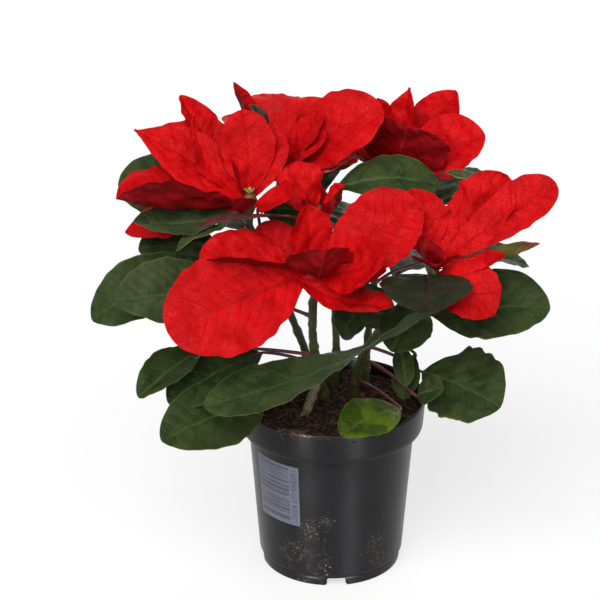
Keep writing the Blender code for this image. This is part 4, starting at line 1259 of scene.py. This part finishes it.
def notch_cutter(azimuth):
    """A block with rounded upper corners that reaches through the foot's wall, flared at its mouth."""
    high = NOTCH_HEIGHT - NOTCH_CROWN
    half = NOTCH_WIDTH / 2
    mouth = -half - NOTCH_FLARE
    section = [(mouth, -CUT_PAST), (mouth, 0.0), (-half, NOTCH_FLARE * NOTCH_CROWN)]
    section += rounded((-half, high), (-half, 0.0), (0.0, high), NOTCH_CORNER, 6)
    section += [(-x, z) for x, z in section[::-1]]
    out = np.array(around(1.0, math.radians(azimuth)))
    along = np.array([-out[1], out[0]])
    points = []
    for depth in (-NOTCH_DEPTH / 2, NOTCH_DEPTH / 2):
        for x, z in section:
            points.append((*((FOOT_RADIUS + depth) * out + x * along), z))
    count = len(section)
    faces = [tuple(range(count)), tuple(range(2 * count - 1, count - 1, -1))]
    faces += [(k, k + count, (k + 1) % count + count, (k + 1) % count) for k in range(count)]
    sheaf = new_sheaf()
    gather(sheaf, points, faces, slot_of(sheaf, "pot_plastic"))
    return sheaf


def cut(piece, sheaf):
    """Cuts the sheaf's shape out of a piece."""
    tool = new_object(sheaf, "cutter")
    bm = bmesh.new()
    bm.from_mesh(tool.data)
    bmesh.ops.recalc_face_normals(bm, faces=bm.faces)
    bm.to_mesh(tool.data)
    bm.free()
    modifier = piece.modifiers.new("Cut", "BOOLEAN")
    modifier.object = tool
    modifier.operation = "DIFFERENCE"
    bpy.context.view_layer.update()
    with bpy.context.temp_override(object=piece, active_object=piece, selected_objects=[piece]):
        bpy.ops.object.modifier_apply(modifier=modifier.name)
    bpy.data.objects.remove(tool)


def body_radius(height):
    """The radius of the pot's tapering body at a height."""
    levels = (FOOT_HEIGHT + FOOT_STEP, BAND_HEIGHT)
    return np.interp(height, levels, (BODY_FOOT_RADIUS, BODY_TOP_RADIUS))


def make_label():
    """The printed patch: a thin skin that follows the pot's body."""
    rows, columns = 30, 40
    up = np.linspace(0, 1, rows + 1)
    across = np.linspace(0, 1, columns + 1)
    turn = np.radians(LABEL_FROM + (LABEL_TO - LABEL_FROM) * across)
    height = LABEL_LOW + (LABEL_HIGH - LABEL_LOW) * up
    layers = []
    for proud in (LABEL_PROUD, LABEL_OFF):
        radius = body_radius(height)[:, None] + proud
        parts = np.broadcast_arrays(radius * np.cos(turn), radius * np.sin(turn), height[:, None])
        layers.append(np.stack(parts, axis=2).reshape(-1, 3))
    grid = np.stack(np.meshgrid(across, up), axis=2).reshape(-1, 2)
    sheaf = new_sheaf()
    gather(sheaf, np.vstack(layers), np.concatenate(sheet_faces(rows, columns)),
           slot_of(sheaf, "label_print"), flat=np.vstack([grid, grid]))
    finish_piece(sheaf, "label", "pot")


def soil_top(x, y):
    """The height of the soil's lumpy top."""
    radius = np.hypot(x, y)
    height = SOIL_HEIGHT + SOIL_CROWN * np.cos(np.clip(radius / SOIL_RADIUS, 0, 1) * np.pi / 2)
    height = height - SOIL_EDGE_DROP * np.clip((radius - SOIL_EDGE_FROM) / SOIL_EDGE_WIDTH, 0, 1)
    for pitch, size in SOIL_WAVES:
        for turn in SOIL_TURNS:
            across = x * math.cos(turn + pitch) + y * math.sin(turn + pitch)
            phase = SOIL_PHASE * pitch + turn * 5
            height = height + 0.6 * size * np.sin(2 * np.pi * across / pitch + phase)
    return height


def make_soil():
    """The root ball, with a rough crumbled top."""
    profile = [(0.0, WALL + SOIL_GAP)]
    for radius, height in inner_wall()[:-1]:
        lift = SOIL_GAP if radius < BODY_FOOT_RADIUS else 0.0
        profile.append((radius - SOIL_GAP, height + lift))
    profile.append((SOIL_RADIUS, SOIL_HEIGHT - SOIL_EDGE_DROP))
    profile += [(SOIL_RADIUS * (1 - k / SOIL_RINGS), SOIL_HEIGHT) for k in range(SOIL_RINGS + 1)]
    sheaf = new_sheaf()
    add_lathe(sheaf, profile, SOIL_SEGMENTS, "peat")
    points = sheaf.points[0]
    top = points[:, 2] >= SOIL_HEIGHT
    points[top, 2] = soil_top(points[top, 0], points[top, 1])
    finish_piece(sheaf, "soil_fine", "soil", "soil")


def random_spot(draw):
    """A random place on the soil, as likely in one part as in another."""
    radius = LITTER_REACH * math.sqrt(draw.uniform())
    return around(radius, draw.uniform(0, 2 * np.pi))


def make_fibres():
    """Loose root and coir fibres that lie over the soil."""
    draw = np.random.default_rng(SEED + 1)
    sheaf = new_sheaf()
    for _ in range(FIBRES):
        x, y = random_spot(draw)
        length = draw.uniform(5.0, 15.0)
        heading = draw.uniform(0, 2 * np.pi)
        points = []
        for _ in range(5):
            heading += draw.normal(0, 0.5)
            x += length / 4 * math.cos(heading)
            y += length / 4 * math.sin(heading)
            inward = min(1.0, FIBRE_REACH / math.hypot(x, y))
            x, y = x * inward, y * inward
            lift = draw.uniform(-0.2, 1.6)
            points.append((x, y, float(soil_top(x, y)) + lift))
        add_tube(sheaf, smooth_path(points, 3), draw.uniform(0.10, 0.28), 4, "fibre")
    for _ in range(RIM_FIBRES):
        add_rim_fibre(sheaf, draw)
    finish_piece(sheaf, "soil_fibres", "soil")


def add_rim_fibre(sheaf, draw):
    """A loose fibre that lies over the pot's rim at the front left and hangs down its band."""
    turn = math.radians(draw.normal(RIM_FIBRE_TURN, 6.0))
    drop = 9.0 * draw.uniform() ** 2
    drift = draw.normal(0, 0.09)
    rim = POT_HEIGHT - SOIL_HEIGHT
    ways = [(47.0, -1.0), (54.0, 2.0), (RIM_RADIUS - 0.8, rim + 0.8), (RIM_RADIUS + 0.5, rim - 1.5),
            (RIM_RADIUS + 0.4, rim - 1.5 - drop)]
    points = []
    for k, (radius, height) in enumerate(ways):
        a = turn + drift * (k - 2) + draw.normal(0, 0.03)
        points.append((*around(radius, a), SOIL_HEIGHT + height + draw.uniform(0, 0.4)))
    add_tube(sheaf, smooth_path(points, 4), draw.uniform(0.06, 0.15), 4, "fibre")


def make_crumbs():
    """Loose crumbs of peat and bark on the soil."""
    draw = np.random.default_rng(SEED + 2)
    sheaf = new_sheaf()
    for _ in range(CRUMBS):
        x, y = random_spot(draw)
        size = draw.uniform(0.5, 1.7)
        z = float(soil_top(x, y)) + 0.3 * size
        add_crumb(sheaf, (x, y, z), size, draw)
    for turn, height, size in BAND_CRUMBS:
        add_crumb(sheaf, (*around(RIM_RADIUS, math.radians(turn)), height), size, draw)
    finish_piece(sheaf, "soil_crumbs", "soil")


def add_crumb(sheaf, place, size, draw):
    """One angular crumb: a small turned shape, knocked out of round."""
    profile = [(0.0, -0.6), (0.7, -0.35), (1.0, 0.05), (0.6, 0.5), (0.0, 0.65)]
    add_lathe(sheaf, [(r * size, h * size) for r, h in profile], 6, "crumb")
    points = sheaf.points[-1]
    points *= draw.uniform(0.6, 1.3, points.shape)
    stretch = draw.uniform(0.6, 1.4, 3)
    x, y = around(1.0, draw.uniform(0, np.pi))
    points *= stretch
    spin = np.array([[x, y, 0], [-y, x, 0], [0, 0, 1]])
    sheaf.points[-1] = points @ spin + place


def make_stage():
    """The pale floor, which matt surfaces gather no light from."""
    corners = [(x * FLOOR_SIZE / 2, y * FLOOR_SIZE / 2, -FLOOR_DROP) for x, y in FLOOR_CORNERS]
    sheaf = new_sheaf()
    gather(sheaf, corners, [(0, 1, 2, 3)], slot_of(sheaf, "studio_floor"))
    floor = new_object(sheaf, "studio_floor")
    floor.visible_diffuse = False


def add_sun(name, strength, softness, azimuth, rise):
    """A soft distant light from an azimuth and a rise above the floor."""
    light = bpy.data.lights.new(name, "SUN")
    light.energy = strength
    light.angle = math.radians(softness)
    made = bpy.data.objects.new(name, light)
    made.rotation_euler = (math.radians(90 - rise), 0, math.radians(azimuth + 90))
    bpy.context.scene.collection.objects.link(made)
    return made


def add_strips():
    """Two narrow lights to the left and right that only draw the upright sheen on the pot."""
    lit = bpy.data.collections.new("pot_sheen")
    lit.objects.link(bpy.data.objects["pot_fine"])
    for name, light in STRIPS.items():
        strip = add_sun(name, *light)
        strip.visible_diffuse = False
        strip.light_linking.receiver_collection = lit


def make_world():
    """An even white surround that lights the shadows only a little."""
    world = bpy.data.worlds.new("studio")
    bpy.context.scene.world = world
    world.use_nodes = True
    tree = world.node_tree
    glow = tree.nodes["Background"]
    glow.inputs["Color"].default_value = (1.0, 1.0, 1.0, 1.0)
    seen = tree.nodes.new("ShaderNodeLightPath")
    level = tree.nodes.new("ShaderNodeMapRange")
    level.inputs[3].default_value = WORLD_GLOSS
    level.inputs[4].default_value = WORLD_DIFFUSE
    tree.links.new(seen.outputs["Is Diffuse Ray"], level.inputs[0])
    tree.links.new(level.outputs[0], glow.inputs["Strength"])


def make_camera():
    """The camera, level from side to side, where the photo was taken from."""
    rise = math.radians(CAMERA_RISE)
    away = (0.0, -CAMERA_DISTANCE * math.cos(rise), CAMERA_DISTANCE * math.sin(rise))
    lens = bpy.data.cameras.new("photo_camera")
    lens.lens = CAMERA_LENS
    lens.sensor_width = CAMERA_SENSOR
    lens.clip_end = CAMERA_SIGHT
    camera = bpy.data.objects.new("photo_camera", lens)
    camera.location = np.add(CAMERA_TARGET, away) * MM
    camera.rotation_euler = (math.pi / 2 - rise, 0.0, 0.0)
    bpy.context.scene.collection.objects.link(camera)
    bpy.context.scene.camera = camera


def build():
    """All the pieces, then what lights and sees them."""
    make_finishes()
    for key, head in HEADS.items():
        make_head(key, head)
        if head.flowers:
            make_flower_group(key, head)
    make_stems()
    make_pot()
    make_label()
    make_soil()
    make_fibres()
    make_crumbs()
    make_stage()
    make_world()
    for name, light in SUNS.items():
        add_sun(name, *light)
    add_strips()
    make_camera()
    bpy.context.scene.view_settings.view_transform = "Standard"


build()
